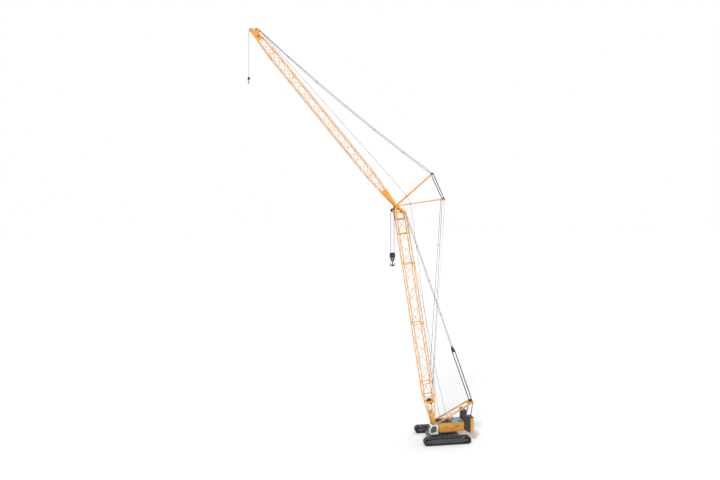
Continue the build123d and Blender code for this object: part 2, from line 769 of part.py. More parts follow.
def cab_door():
    """The left door: a full-thickness panel with its window cut and a grab handle."""
    with BuildPart() as door:
        with BuildSketch(side_plane(cab_outer)):
            make_face(cab_door_face().wire())
            make_face(cab_window_face().wire(), mode=Mode.SUBTRACT)
        extrude(amount=cab_wall)
        for z in (cab_floor + 40, cab_roof - 60):
            with BuildSketch(Plane.XY.offset(z)):
                with Locations((cab_rear + 29, cab_outer + 1.5)):
                    Circle(3.0)
            extrude(amount=16)
    save(door, "cab_door")


def cab_door_glass():
    """The door's window pane, set in the middle of its thickness."""
    with BuildPart() as pane:
        with BuildSketch(side_plane(cab_outer - (cab_wall - glass_thickness) / 2)):
            make_face(cab_window_face().wire())
        extrude(amount=glass_thickness)
    save(pane, "cab_door_glass")


def cab_glass():
    """The windscreen, rear pane and right pane, set in the middle of the cab's wall."""
    y = (cab_inner + cab_outer) / 2
    width = cab_outer - cab_inner - 2 * cab_wall - 6
    inset_depth = (cab_wall - glass_thickness) / 2
    with BuildPart() as glass:
        with BuildSketch(side_plane(y + width / 2)):
            make_face(cab_outline(inset_depth))
            make_face(cab_outline(inset_depth + glass_thickness), mode=Mode.SUBTRACT)
            with Locations((cab_front - 20, (cab_floor + cab_roof) / 2 + 10)):
                Rectangle(42.0, cab_roof - cab_floor - 72, mode=Mode.INTERSECT)
        extrude(amount=width)
        with BuildSketch(Plane(origin=(cab_rear + inset_depth, y, 0), x_dir=(0, 1, 0), z_dir=(1, 0, 0))):
            with Locations((0, cab_roof - 62)):
                Rectangle(width - 14, 62)
        extrude(amount=glass_thickness)
        with BuildSketch(side_plane(cab_inner + cab_wall - inset_depth)):
            make_face(cab_window_face().wire())
        extrude(amount=glass_thickness)
    save(glass, "cab_glass")


def cab_interior():
    """The operator's seat and its two consoles, on the cab floor."""
    y = (cab_inner + cab_outer) / 2
    floor = cab_floor + cab_wall
    with BuildPart() as seat:
        with BuildSketch(side_plane(y + 22)):
            Polygon(
                (cab_rear + 34, floor), (cab_rear + 74, floor), (cab_rear + 82, floor + 44), (cab_rear + 84, floor + 54),
                (cab_rear + 44, floor + 56), (cab_rear + 34, floor + 122), (cab_rear + 22, floor + 122),
                (cab_rear + 28, floor + 46), align=None,
            )
        extrude(amount=44)
        for side in (1, -1):
            with BuildSketch(side_plane(y + side * 30 + 7)):
                Polygon(
                    (cab_rear + 40, floor), (cab_rear + 92, floor), (cab_rear + 96, floor + 60),
                    (cab_rear + 84, floor + 68), (cab_rear + 40, floor + 64), align=None,
                )
            extrude(amount=14)
    save(seat, "cab_interior")


# ---- counterweights and A-frame ---------------------------------------------------------
def counterweight_tray():
    """The two trays beside the deck that carry the slab stacks."""
    with BuildPart() as tray:
        for side in (1, -1):
            with BuildSketch(Plane.XY.offset(deck_bottom)):
                add(slab_profile(side, 6.0))
                with Locations(((slab_front + slab_rear) / 2, side * (deck_half_width + slab_inner + 8) / 2)):
                    Rectangle(slab_front - slab_rear - 24, slab_inner + 8 - deck_half_width)
            extrude(amount=stack_bottom - deck_bottom)
    save(tray, "counterweight_tray")


def slab_profile(side, margin):
    """One slab seen from above: a slanted front and a rounded rear outer corner."""
    inner, outer = side * (slab_inner + margin), side * (slab_outer - margin)
    front = slab_front - margin
    with BuildSketch(Plane.XY) as slab:
        Polygon((slab_rear + margin, inner), (slab_rear + margin, outer),
                (slab_outer_front - margin, outer), (front, inner), align=None)
        rear_corners = slab.vertices().group_by(Axis.X)[0]
        fillet(rear_corners.sort_by(Axis.Y)[-1 if side > 0 else 0], slab_radius - margin)
    return slab.sketch


def counterweights():
    """A stack of slabs on each side, with a narrow seam between each two."""
    with BuildPart() as stack:
        for side in (1, -1):
            for k in range(slab_count):
                z = stack_bottom + k * (slab_height + slab_gap)
                with BuildSketch(Plane.XY.offset(z)):
                    add(slab_profile(side, 0.0))
                extrude(amount=slab_height)
                if k < slab_count - 1:
                    with BuildSketch(Plane.XY.offset(z + slab_height)):
                        add(slab_profile(side, 2.5))
                    extrude(amount=slab_gap)
    save(stack, "counterweights")


def a_frame_legs():
    """Both legs, their cross members, the head plates and the head shaft."""
    half = frame_leg_height / 2
    head_y = frame_sheave_y
    with BuildPart() as frame:
        for y in (leg_inner, -leg_outer):
            with BuildSketch(a_frame.side(y)):
                Polygon((0, -10), (0, 10), (60, half), (frame_run, half), (frame_run, -half), (60, -half), align=None)
                Circle(16.0)
                with Locations((frame_run, 0)):
                    Circle(22.0)
                Circle(frame_pin_radius, mode=Mode.SUBTRACT)
            extrude(amount=frame_leg_width)
        for t in (150.0, 420.0, frame_run - 90):
            centre = a_frame.point(t)
            add(disc(centre, -leg_inner - 2, leg_inner + 2, 8.0))
        for y in (head_y, -head_y - 8.0):
            with BuildSketch(a_frame.side(y)):
                with Locations((frame_run - 32, 0)):
                    Rectangle(134.0, 30.0)
                with Locations((frame_run, 0)):
                    Circle(22.0)
            extrude(amount=8.0)
        add(disc(frame_head, -strut_outer - 3, strut_outer + 3, frame_pin_radius))
    save(frame, "a_frame")


def a_frame_struts():
    """The two tie struts from the A-frame head down to the rear of the deck."""
    foot = Vector(deck_rear + 35.0, 0, rail_top - 30.0)
    tie, length = line_between(foot, frame_head)
    with BuildPart() as struts:
        for y in (strut_inner, -strut_outer):
            with BuildSketch(tie.side(y)):
                Polygon((0, -9), (length, -9), (length, 9), (0, 9), align=None)
                with Locations((0, 0), (length, 0)):
                    Circle(16.0)
                with Locations((0, 0), (length, 0)):
                    Circle(frame_pin_radius, mode=Mode.SUBTRACT)
            extrude(amount=rear_strut_thickness)
    save(struts, "a_frame_struts")


# ---- boom -------------------------------------------------------------------------------
def plated_foot(member, inner, outer, profile, boss, pin):
    """Two solid side plates of a section's foot; the profile is rows of (t, half depth)."""
    outline = [(t, -half) for t, half in profile] + [(t, half) for t, half in reversed(profile)]
    parts = []
    for y in (inner, -outer):
        with BuildSketch(member.side(y)) as face:
            Polygon(*outline, align=None)
            Circle(boss)
            Circle(pin, mode=Mode.SUBTRACT)
        parts.append(extrude(face.sketch, amount=outer - inner, mode=Mode.PRIVATE))
    return parts


def taper(t, start, end):
    """Straight-line value at t between two (t, value) points."""
    return start[1] + (end[1] - start[1]) * (t - start[0]) / (end[0] - start[0])


def boom_base():
    """Foot plates, then a tapering and a straight run of lattice, with the winch's hangers."""
    plate_end, plate_half = base_plate_end
    foot = ((0, foot_boss_radius - 3), base_knee, (plate_end, plate_half + boom_chord))
    low_end, low_half = base_knee
    with BuildPart() as base:
        add(plated_foot(boom, foot_inner, foot_outer, foot, foot_boss_radius, foot_pin_radius + pin_clearance))
        low = frustum_corners(boom, low_end, 2 * low_half - 12, boom_width - 12)
        high = frustum_corners(boom, plate_end, 2 * plate_half, boom_width - 12)
        add(truss_face(low[0], high[0], low[1], high[1], 1, boom_lacing))
        add(truss_face(low[3], high[3], low[2], high[2], 1, boom_lacing))
        for corners in (low, high):
            for k in (0, 2):
                add(bar(corners[k], corners[k + 1], boom_lacing))
        section = (plate_end, 2 * plate_half, boom_width)
        full = (base_taper_end, boom_depth, boom_width)
        add(lattice(boom, section, full, 2, boom_chord, boom_lacing))
        add(lattice(boom, full, (base_end, boom_depth, boom_width), 1, boom_chord, boom_lacing))
        add(collars(boom, base_end, boom_depth, boom_width, -1))
        half = taper(boom_winch_t, (plate_end, plate_half), (base_taper_end, boom_depth / 2))
        for f in (half, -half):
            add(disc(boom.point(boom_winch_t, f), -boom_width / 2, boom_width / 2, boom_chord))
        hanger = ((boom_winch_t - 16, -half), (boom_winch_t + 16, -half), (boom_winch_t + 24, boom_winch_f),
                  (boom_winch_t + 16, half), (boom_winch_t - 16, half), (boom_winch_t - 24, boom_winch_f))
        low_y = boom_winch_half + 1.0
        hole = (boom_winch_t, boom_winch_f, boom_winch_axle + pin_clearance)
        add(mirrored([plate(boom.side(low_y), hanger, 8.0, (hole,))]))
        lug_t, lug_f = rear_stay_foot
        outline = ((lug_t - 26, lug_f - 7), (lug_t - 8, lug_f - 11), (lug_t + 8, lug_f - 11), (lug_t + 14, lug_f - 7),
                   (lug_t + 14, lug_f + 4), (lug_t - 26, lug_f + 4))
        eye_low = rear_stay_low_y - eye_thickness / 2
        add(mirrored([plate(boom.side(boom_width / 2 + 1.0), outline, eye_low - 0.5 - boom_width / 2 - 1.0)]))
        lug_pin = disc(boom.point(lug_t, lug_f), boom_width / 2 + 2.0, eye_low + eye_thickness + 2.0, stay_pin_radius)
        washer = disc(boom.point(lug_t, lug_f), eye_low + eye_thickness + 0.5, eye_low + eye_thickness + 2.5,
                      stay_pin_radius + 3.0)
        add(mirrored([lug_pin, washer]))
    save(base, "boom_base")


def boom_winch():
    """The jib's luffing winch, hung between the boom base's side trusses."""
    half, radius = boom_winch_half, boom_winch_radius
    centre = boom.point(boom_winch_t, boom_winch_f)
    with BuildPart() as drum:
        with BuildSketch(Plane(origin=centre, x_dir=(0, 1, 0), z_dir=(1, 0, 0))):
            Polygon((-half - 8, 0), (-half - 8, boom_winch_axle), (-half, boom_winch_axle), (-half, radius),
                    (-half + 4, radius), (-half + 4, radius * 0.76), (half - 4, radius * 0.76), (half - 4, radius),
                    (half, radius), (half, boom_winch_axle), (half + 8, boom_winch_axle), (half + 8, 0), align=None)
        revolve(axis=Axis(tuple(centre), (0, 1, 0)))
    save(drum, "boom_winch")


def boom_section(name, start, length, bays):
    """One straight lattice section with pin connectors at both ends."""
    near, far = (start, boom_depth, boom_width), (start + length, boom_depth, boom_width)
    with BuildPart() as section:
        add(lattice(boom, near, far, bays, boom_chord, boom_lacing))
        add(collars(boom, start, boom_depth, boom_width, 1))
        add(collars(boom, start + length, boom_depth, boom_width, -1))
    save(section, name)


def boom_head():
    """Short lattice, open head plates, jib pivot pin, main sheave brackets and stay lugs."""
    start = (section_end, boom_depth, boom_width)
    plate_start = section_end + head_lattice
    end = (plate_start, boom_depth, boom_width)
    plate_inner = jib_outer + ear_gap + 2.0
    plate_outer = plate_inner + 12.0
    sheave_half = main_sheave_half + 3.0
    half = boom_depth / 2 + boom_chord
    with BuildPart() as head:
        add(lattice(boom, start, end, 1, boom_chord, boom_lacing))
        add(collars(boom, section_end, boom_depth, boom_width, 1))
        for y in (plate_inner, -plate_outer):
            with BuildSketch(boom.side(y)):
                Polygon(
                    (plate_start - 12, -half), (plate_start - 12, half), (main_sheave_t - 46, half + 10),
                    (jib_pivot_t + 8, jib_pivot_f + 24), (jib_pivot_t + 8, jib_pivot_f - 26),
                    (boom_stay_t + 15, -half), align=None,
                )
                with Locations((jib_pivot_t, jib_pivot_f)):
                    Circle(26.0)
                Polygon(
                    (plate_start + 16, -half + 26), (plate_start + 16, half - 26), (main_sheave_t - 58, half - 22),
                    (jib_pivot_t - 38, jib_pivot_f + 2), (jib_pivot_t - 38, jib_pivot_f - 22),
                    (boom_stay_t - 33, -half + 26), align=None, mode=Mode.SUBTRACT,
                )
            extrude(amount=plate_outer - plate_inner)
        for t, f, radius in ((plate_start + 6, 62.0, 12.0), (plate_start + 6, -62.0, 12.0),
                             (boom_stay_t - 3, -64.0, 9.0), (main_sheave_t - 58, half - 8, 11.0)):
            add(disc(boom.point(t, f), -plate_inner - 2, plate_inner + 2, radius))
        for t, f, _, strap_rear in head_guide_table:
            add(disc(boom.point(t, f), -plate_inner - 2, plate_inner + 2, guide_axle_radius))
            strap = ((t - 9, strap_rear), (t + 9, strap_rear), (t + 9, half - 16), (t - 9, half - 16))
            for y in (plate_inner + 2, -plate_inner - 10.0):
                add(plate(boom.side(y), strap, 8.0))
        add(disc(jib_pivot, -plate_outer - 3, plate_outer + 3, jib_pin_radius))
        bracket = ((main_sheave_t - 70, half - 12), (main_sheave_t - 46, half - 16), (main_sheave_t + 14, main_sheave_f - 8),
                   (main_sheave_t + 8, main_sheave_f + 13), (main_sheave_t - 10, main_sheave_f + 14))
        for y in (sheave_half, -sheave_half - 7.0):
            add(plate(boom.side(y), bracket, 7.0))
        add(disc(main_sheave, -sheave_half - 9, sheave_half + 9, 7.0))
        lug = ((boom_stay_t - 12, -60.0), (boom_stay_t + 8, -60.0), (boom_stay_t + 11, boom_stay_f - 11),
               (boom_stay_t - 11, boom_stay_f - 11))
        for y in (boom_stay_y - 10, boom_stay_y + 5):
            add(mirrored([plate(boom.side(y), lug, 5.0)]))
        for low, high in ((boom_stay_y - 14, boom_stay_y - 10), (boom_stay_y + 10, boom_stay_y + 14)):
            add(mirrored([disc(stay_pin, low, high, 6.0)]))
    save(head, "boom_head")


def head_guides():
    """The rope guide sheaves inside the boom head and at the jib head."""
    bore = guide_axle_radius + pin_clearance
    with BuildPart() as guides:
        for t, f, radius, _ in head_guide_table:
            add(sheave_set(boom.point(t, f), radius, 2, 13.0, bore))
    save(guides, "boom_head_guides")
    with BuildPart() as guide:
        add(sheave_set(jib_guide, jib_guide_radius, 1, 14.0, bore))
    save(guide, "jib_head_guide")


def ladder_strut(name, member, root_y, tip_y, rungs, hole, axle_reach, rollers=()):
    """A two-legged jib strut with rungs, from the jib pivot to its tip axle; rollers are (t, radius, half width)."""
    half = strut_leg_height / 2
    wide = strut_leg_width / 2
    with BuildPart() as strut:
        for side in (1, -1):
            with BuildSketch(Plane(origin=member.point(0), x_dir=member.along, z_dir=member.forward)) as _:
                Polygon(
                    (0, side * (root_y - wide)), (200, side * (root_y - wide)), (strut_length - 90, side * (tip_y - wide)),
                    (strut_length, side * (tip_y - wide)), (strut_length, side * (tip_y + wide)),
                    (strut_length - 90, side * (tip_y + wide)), (200, side * (root_y + wide)), (0, side * (root_y + wide)),
                    align=None,
                )
            extrude(amount=half, both=True)
        for side in (1, -1):
            low = min(side * (root_y - wide), side * (root_y + wide))
            add(disc(member.point(0), low, low + 2 * wide, 18.0))
            low = min(side * (tip_y - wide), side * (tip_y + wide))
            add(disc(member.point(strut_length), low, low + 2 * wide, 14.0))
        root = disc(member.point(0), -root_y - wide - 1, root_y + wide + 1, hole)
        for t in rungs:
            spread = root_y + (tip_y - root_y) * max(0.0, min(1.0, (t - 200) / (strut_length - 290)))
            add(disc(member.point(t), -spread, spread, 4.5))
        add(root, mode=Mode.SUBTRACT)
        for low, high in axle_reach:
            add(disc(member.point(strut_length), low, high, strut_axle_radius))
        for t, radius, reach in rollers:
            spread = root_y + (tip_y - root_y) * max(0.0, min(1.0, (t - 200) / (strut_length - 290)))
            add(disc(member.point(t), -spread, spread, stay_pin_radius))
            add(disc(member.point(t), -reach, reach, radius))
    save(strut, name)


def rear_stays():
    """The two fixed stays from the rear strut down and outward to the boom base."""
    stay, length = line_between(boom.point(*rear_stay_foot), rear_strut.point(rear_stay_pin))
    reach = eye_radius - 3.0

    def at(t):
        return stay.point(t, 0, taper(t, (0, rear_stay_low_y), (length, rear_stay_high_y)))

    pieces = [bar(at(reach), at(length - reach), stay_radius, 6)]
    pieces.append(eye(at(0), rear_stay_low_y, eye_radius, stay_pin_radius))
    pieces.append(eye(at(length), rear_stay_high_y, eye_radius, stay_pin_radius))
    for k in (1, 2, 3):
        t = length * k / 4
        pieces.append(bar(at(t - 24), at(t + 24), 2 * stay_radius, 6))
    with BuildPart() as stays:
        add(mirrored(pieces))
    save(stays, "rear_stays")


# ---- jib --------------------------------------------------------------------------------
def jib_base():
    """The jib's foot plates and its tapering lattice."""
    foot_half = 24.0
    reach = (jib_base_end, jib_depth / 2)
    plate_half = taper(jib_plate_end, (0, foot_half), reach)
    low_half = taper(120.0, (0, foot_half), reach)
    with BuildPart() as base:
        foot = ((0, foot_half - 6), (jib_plate_end, plate_half + jib_chord))
        add(plated_foot(jib, jib_inner, jib_outer, foot, 22.0, jib_pin_radius + pin_clearance))
        low = frustum_corners(jib, 120.0, 2 * low_half - 8, jib_width - 8)
        high = frustum_corners(jib, jib_plate_end, 2 * plate_half, jib_width - 8)
        add(truss_face(low[0], high[0], low[1], high[1], 3, jib_lacing))
        add(truss_face(low[3], high[3], low[2], high[2], 3, jib_lacing))
        for corners in (low, high):
            for k in (0, 2):
                add(bar(corners[k], corners[k + 1], jib_lacing))
        section = (jib_plate_end, 2 * plate_half, jib_width)
        full = (jib_base_end - collar_length, jib_depth, jib_width)
        add(lattice(jib, section, full, 3, jib_chord, jib_lacing))
        add(jib_collars(jib_base_end, -1))
    save(base, "jib_base")


def jib_collars(t, direction):
    """The pin connectors at one end of a jib section."""
    reach = jib.along * (collar_length * direction)
    return [bar(p, p + reach, collar_radius - 2.5, 6) for p in frustum_corners(jib, t, jib_depth, jib_width)]


def jib_section(name, start, length, bays):
    """One straight jib section with pin connectors at both ends."""
    near, far = (start, jib_depth, jib_width), (start + length, jib_depth, jib_width)
    with BuildPart() as section:
        add(lattice(jib, near, far, bays, jib_chord, jib_lacing))
        add(jib_collars(start, 1))
        add(jib_collars(start + length, -1))
    save(section, name)


def jib_head():
    """Tapering lattice, two head plates bent forward, the sheave pin and the stay lug."""
    start = (jib_section_end + collar_length, jib_depth, jib_width)
    end = (jib_section_end + jib_head_lattice, jib_depth * 0.72, jib_width * 0.5)
    half = end[1] / 2 + jib_chord
    inner = head_plate_inner
    sheave_s, sheave_g = jib_sheave_s, jib_sheave_g
    guide_s, guide_g = jib_guide_place
    with BuildPart() as head:
        add(lattice(jib, start, end, 3, jib_chord, jib_lacing))
        add(jib_collars(jib_section_end, 1))
        for y in (inner, -inner - 8.0):
            outline = ((end[0] - 20, -half), (end[0] - 20, half), (sheave_s - 76, half), (sheave_s + 10, sheave_g + 14),
                       (sheave_s + 14, sheave_g - 12), (guide_s + 16, guide_g + 22), (guide_s + 10, guide_g - 12),
                       (jib_stay_s + 10, jib_stay_g - 12), (jib_stay_s - 10, jib_stay_g - 12), (jib_stay_s - 44, -half))
            hole = (end[0] + 48, -4.0, 30.0)
            add(plate(jib.side(y), outline, 8.0, (hole,)))
        for k in (0, 3):
            corner = frustum_corners(jib, *end)[k]
            add(bar(corner, Vector(corner.X, -corner.Y, corner.Z), jib_chord))
        for s, g in ((end[0] + 40, half - 14), (end[0] + 60, -half + 16)):
            add(disc(jib.point(s, g), -inner - 2, inner + 2, 7.0))
        add(disc(jib_sheave, -inner - 12, inner + 12, 7.0))
        add(disc(jib_guide, -inner - 12, inner + 12, guide_axle_radius))
        add(disc(jib_stay_head, -inner - 17, inner + 17, stay_pin_radius))
    save(head, "jib_head")


def jib_stays():
    """The two stays from the front strut's tip to the jib head: pendants that hang in a slight curve."""
    stay, length = line_between(front_tip, jib_stay_head)
    end_y = head_plate_inner + 12.0
    reach = eye_radius - 3.0
    count = 6
    bend = 0.7  # share of the span from which the two stays run together

    def at(t):
        share = t / length
        y = jib_stay_y if share < bend else taper(share, (bend, jib_stay_y), (1.0, end_y))
        return stay.point(t, 4 * jib_stay_sag * share * (1 - share), y)

    spots = [at(length * k / count) for k in range(count + 1)]
    pieces = []
    for k in range(count):
        run = (spots[k + 1] - spots[k]).normalized()
        start = spots[k] + run * (reach if k == 0 else 0)
        end = spots[k + 1] - run * (reach if k == count - 1 else 0)
        pieces.append(bar(start, end, stay_radius, 6))
        if k:
            pieces.append(bar(spots[k] - run * 24, spots[k] + run * 24, 2 * stay_radius, 6))
    pieces.append(eye(front_tip, jib_stay_y, eye_radius, strut_axle_radius))
    pieces.append(eye(jib_stay_head, end_y, eye_radius, stay_pin_radius))
    with BuildPart() as stays:
        add(mirrored(pieces))
    save(stays, "jib_stays")


# ---- tackles, hooks and their sheaves ---------------------------------------------------
def boom_tackle():
    """The luffing sheaves on the A-frame head shaft, with their cheek plates."""
    with BuildPart() as tackle:
        add(sheave_set(frame_head, frame_sheave_radius, 7, 14.0, frame_pin_radius + pin_clearance))
    save(tackle, "boom_tackle")


def boom_stays():
    """The floating tackle block with its sheaves, and the two pendants up to the boom head."""
    line, length = line_between(frame_head, stay_pin)
    block = line.point(tackle_length)
    count = 6
    cheek = 14.0 * (count - 1) / 2 + 6.0
    link_t = tackle_length + 60.0
    with BuildPart() as block_part:
        add(sheave_set(block, frame_sheave_radius, count, 14.0, 0.0))
        for y in (cheek, -cheek - 4.0):
            with BuildSketch(line.side(y)):
                Polygon(
                    (tackle_length - 24, -22), (link_t + 12, -15), (link_t + 12, 15), (tackle_length - 24, 22),
                    align=None,
                )
            extrude(amount=4.0)
        add(disc(block, -cheek - 7, cheek + 7, 7.0))
        add(disc(line.point(link_t), -boom_stay_y - 7, boom_stay_y + 7, strut_axle_radius))
    save(block_part, "tackle_block")
    couplings = [link_t + (length - link_t) * k / 4 for k in (1, 2, 3)]
    with BuildPart() as stays:
        add(mirrored(stay_run(line, link_t, length, boom_stay_y, (strut_axle_radius, 0.0), couplings)))
    save(stays, "boom_stays")


def jib_tackle():
    """The sheaves on the rear strut's tip and those of the front strut's tip."""
    with BuildPart() as rear:
        add(sheave_set(rear_tip, strut_sheave_radius, 6, 12.0, 6.0 + pin_clearance))
    save(rear, "jib_tackle")
    with BuildPart() as front:
        add(sheave_set(front_tip, strut_sheave_radius, 6, 12.0, 0.0))
    save(front, "jib_tackle_end")


def main_block():
    """The main hook block: its falls, sheaves, cheek plates and hook cross-head."""
    centre = main_sheave - Vector(0, 0, main_block_drop)
    spacing, count = 12.0, 3
    fall_reach = main_sheave_radius - rope_seat
    with BuildPart() as sheaves:
        add(sheave_set(main_sheave, main_sheave_radius, count + 2, spacing, 7.0 + pin_clearance))
    save(sheaves, "main_head_sheaves")
    with BuildPart() as falls:
        for k in range(count):
            y = (k - (count - 1) / 2) * spacing
            for x in (-fall_reach, fall_reach):
                top = main_sheave + Vector(x, y, 0)
                add(bar(top, top - Vector(0, 0, main_block_drop), fall_radius, 6))
    save(falls, "main_falls")
    half = spacing * count / 2 + 2.0  # inner face of each cheek plate
    with BuildPart() as block:
        add(sheave_set(centre, main_sheave_radius, count, spacing, 0.0))
        for y in (half, -half - 7.0):
            with BuildSketch(Plane(origin=(centre.X, y, centre.Z), x_dir=(1, 0, 0), z_dir=(0, 1, 0))):
                Polygon(
                    (-34, -50), (34, -50), (51, -26), (51, 26), (40, 78), (30, 121), (-30, 121), (-40, 78), (-51, 26),
                    (-51, -26), align=None,
                )
            extrude(amount=7.0)
        add(disc(centre, -half - 3, half + 3, 8.0))
        add(disc(centre - Vector(0, 0, cross_head_drop), -half - 3, half + 3, 10.0))
    save(block, "main_hook_block")


def ramshorn():
    """The double hook under the main block, with its shank and nut."""
    centre = main_sheave - Vector(0, 0, main_block_drop)
    top = centre.Z - cross_head_drop
    base = top - hook_drop
    with BuildPart() as hook:
        with BuildSketch(Plane.XY.offset(base + 40)):
            with Locations((centre.X, 0)):
                Circle(9.0)
        extrude(amount=top - 11.0 - base - 40)
        with BuildSketch(Plane(origin=(centre.X, 8.0, base), x_dir=(1, 0, 0), z_dir=(0, -1, 0))):
            Polygon((-14, 50), (14, 50), (16, 20), (34, 4), (40, 26), (34, 50), (44, 56), (54, 24), (44, -12),
                    (14, -30), (-14, -30), (-44, -12), (-54, 24), (-44, 56), (-34, 50), (-40, 26), (-34, 4),
                    (-16, 20), align=None)
        extrude(amount=16.0)
    save(hook, "main_hook")


def jib_hook_parts():
    """The jib head sheave, its single line with the ball weight, and the ball's hook."""
    reach = jib_sheave_radius - rope_seat
    bottom = jib_sheave.Z - jib_line_drop
    x = jib_sheave.X + reach
    with BuildPart() as sheave:
        add(sheave_set(jib_sheave, jib_sheave_radius, 1, 14.0, 7.0 + pin_clearance))
    save(sheave, "jib_head_sheave")
    with BuildPart() as line:
        add(bar(Vector(x, 0, jib_sheave.Z), Vector(x, 0, bottom + 62), fall_radius, 6))
    save(line, "jib_hook_line")
    with BuildPart() as ball:
        with BuildSketch(Plane(origin=(x, 0, bottom), x_dir=(1, 0, 0), z_dir=(0, -1, 0))):
            Polygon((0, -14), (7, -14), (7, -8), (22, 2), (26, 16), (22, 32), (9, 46), (6, 62), (0, 62), align=None)
        revolve(axis=Axis((x, 0, bottom), (0, 0, 1)))
    save(ball, "jib_hook_ball")
    with BuildPart() as hook:
        with BuildSketch(Plane(origin=(x, 4.0, bottom - 15), x_dir=(1, 0, 0), z_dir=(0, -1, 0))):
            Polygon((-4, 0), (4, 0), (5, -18), (16, -28), (20, -44), (12, -60), (-4, -66), (-20, -58), (-26, -42),
                    (-20, -36), (-14, -46), (-4, -54), (6, -50), (9, -42), (4, -32), (-6, -22), align=None)
        extrude(amount=8.0)
    save(hook, "jib_hook")


# ---- places that several sub-parts share ------------------------------------------------
track_middles = (track_gauge / 2, -track_gauge / 2)
winch_half = 68.0
winch_table = ((34.0, 290.0, 62.0), (-100.0, 290.0, 62.0), (-476.0, 246.0, 48.0))  # (x, z, flange radius)
boom_winch_t, boom_winch_f = 475.0, -14.0
boom_winch_half, boom_winch_radius, boom_winch_axle = 62.0, 45.0, 8.0
guide_axle_radius = 5.0
head_guide_table = ((4290.0, -31.0, 26.0, -84.0), (4349.0, 21.0, 24.0, -24.0))  # t, f, radius, strap's rear end
jib_guide_place = (4318.0, -58.0)
jib_guide = jib.point(*jib_guide_place)
jib_guide_radius = 36.0
cross_head_drop, hook_drop = 100.0, 95.0  # hook block's lower pin, and the hook under it
frame_sheave_y = 7 * 14.0 / 2 + 3.0
jib_inner = jib_width / 2 - 8.0
jib_outer = jib_width / 2 + 8.0
jib_section_end = jib_base_end + sum(length for _, length, _ in jib_sections)
jib_stay_s, jib_stay_g = 4286.0, -94.0
jib_stay_head = jib.point(jib_stay_s, jib_stay_g)
head_plate_inner = 12.0
rear_stay_foot = (832.0, -94.0)
main_sheave_half = 5 * 12.0 / 2

# ---- the whole crane --------------------------------------------------------------------
tracks()
track_frames()
track_wheels()
carbody()
ballast()
slew_ring()
main_frame()
winches()
side_houses()
for label, side in (("left", 1), ("right", -1)):
    engine_door(f"{label}_engine_door", side)
counterweights()
engine_room()
engine_roof()
engine_block()
exhaust()
cab_shell()
cab_door()
cab_door_glass()
cab_glass()
cab_interior()
counterweight_tray()
a_frame_legs()
a_frame_struts()
boom_base()
boom_winch()
section_start = base_end
for name, length, bays in boom_sections:
    boom_section(name, section_start, length, bays)
    section_start += length
boom_head()
head_guides()
ladder_strut("rear_strut", rear_strut, rear_strut_y, strut_head_y, (200, 380, 560, 740, 890), jib_pin_radius,
             ((-strut_head_y - 6, strut_head_y + 6),), ((293.0, 16.0, 30.0), (rear_stay_pin, stay_pin_radius, 58.0)))
rear_stays()
jib_base()
section_start = jib_base_end
for name, length, bays in jib_sections:
    jib_section(name, section_start, length, bays)
    section_start += length
jib_head()
tip = front_strut_y + 7.0
ladder_strut("front_strut", front_strut, front_strut_y, front_strut_y, (200, 380, 560, 740, 890),
             jib_pin_radius + pin_clearance, ((-tip - 10, -tip + 8), (tip - 8, tip + 10)))
jib_stays()
boom_tackle()
boom_stays()
jib_tackle()
main_block()
ramshorn()
jib_hook_parts()
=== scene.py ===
"""The look of a 1:10 lattice-boom crawler crane with a luffing jib, dressed over its solid model.

Everything is in metres in the model's own frame: +X is the crane's front, +Y its left, +Z up,
and the origin is on the ground at the slewing axis.
"""

import json
import math

import bmesh
import bpy
from mathutils import Matrix, Vector

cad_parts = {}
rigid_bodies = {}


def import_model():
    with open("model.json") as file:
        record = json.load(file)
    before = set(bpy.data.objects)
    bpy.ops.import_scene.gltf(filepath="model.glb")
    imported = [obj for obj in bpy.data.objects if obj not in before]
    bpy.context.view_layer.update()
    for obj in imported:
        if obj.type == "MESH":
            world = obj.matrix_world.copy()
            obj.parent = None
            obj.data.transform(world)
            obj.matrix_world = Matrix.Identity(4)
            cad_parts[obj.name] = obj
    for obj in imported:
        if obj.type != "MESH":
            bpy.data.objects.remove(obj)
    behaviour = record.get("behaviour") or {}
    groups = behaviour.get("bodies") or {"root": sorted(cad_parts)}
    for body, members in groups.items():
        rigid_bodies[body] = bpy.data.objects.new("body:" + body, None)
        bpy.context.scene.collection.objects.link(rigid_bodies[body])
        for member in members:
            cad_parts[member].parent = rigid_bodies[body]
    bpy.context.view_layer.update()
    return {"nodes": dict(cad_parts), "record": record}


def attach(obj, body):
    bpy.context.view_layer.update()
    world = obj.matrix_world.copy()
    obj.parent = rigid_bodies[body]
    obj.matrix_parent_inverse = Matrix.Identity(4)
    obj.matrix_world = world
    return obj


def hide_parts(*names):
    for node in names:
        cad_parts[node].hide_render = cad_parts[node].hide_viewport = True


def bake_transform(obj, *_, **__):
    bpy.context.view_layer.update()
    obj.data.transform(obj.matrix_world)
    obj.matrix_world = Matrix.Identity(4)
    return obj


for leftover in list(bpy.data.objects):
    bpy.data.objects.remove(leftover)
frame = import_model()
scene = bpy.context.scene

# ---- the camera and the view transform ----------------------------------------------------
camera_data = bpy.data.cameras.new("camera")
camera_data.lens = 32.5
camera_data.sensor_width = 36.0
camera_data.shift_y = -0.0486
camera_data.clip_end = 200.0
camera = bpy.data.objects.new("camera", camera_data)
camera.location = (3.715, 12.56, 4.65)
camera.rotation_euler = (math.radians(90), 0, math.radians(180) - math.atan2(0.1616, 0.9869))
scene.collection.objects.link(camera)
scene.camera = camera
scene.view_settings.view_transform = "Standard"


# ---- small helpers for shader trees -------------------------------------------------------
def plug(tree, slot, value):
    """Sets an input socket to a number, colour or vector, or links another socket to it."""
    if isinstance(value, Value):
        tree.links.new(value.socket, slot)
    elif hasattr(slot, "default_value"):
        slot.default_value = (*value, 1.0) if slot.type == "RGBA" and len(value) == 3 else value


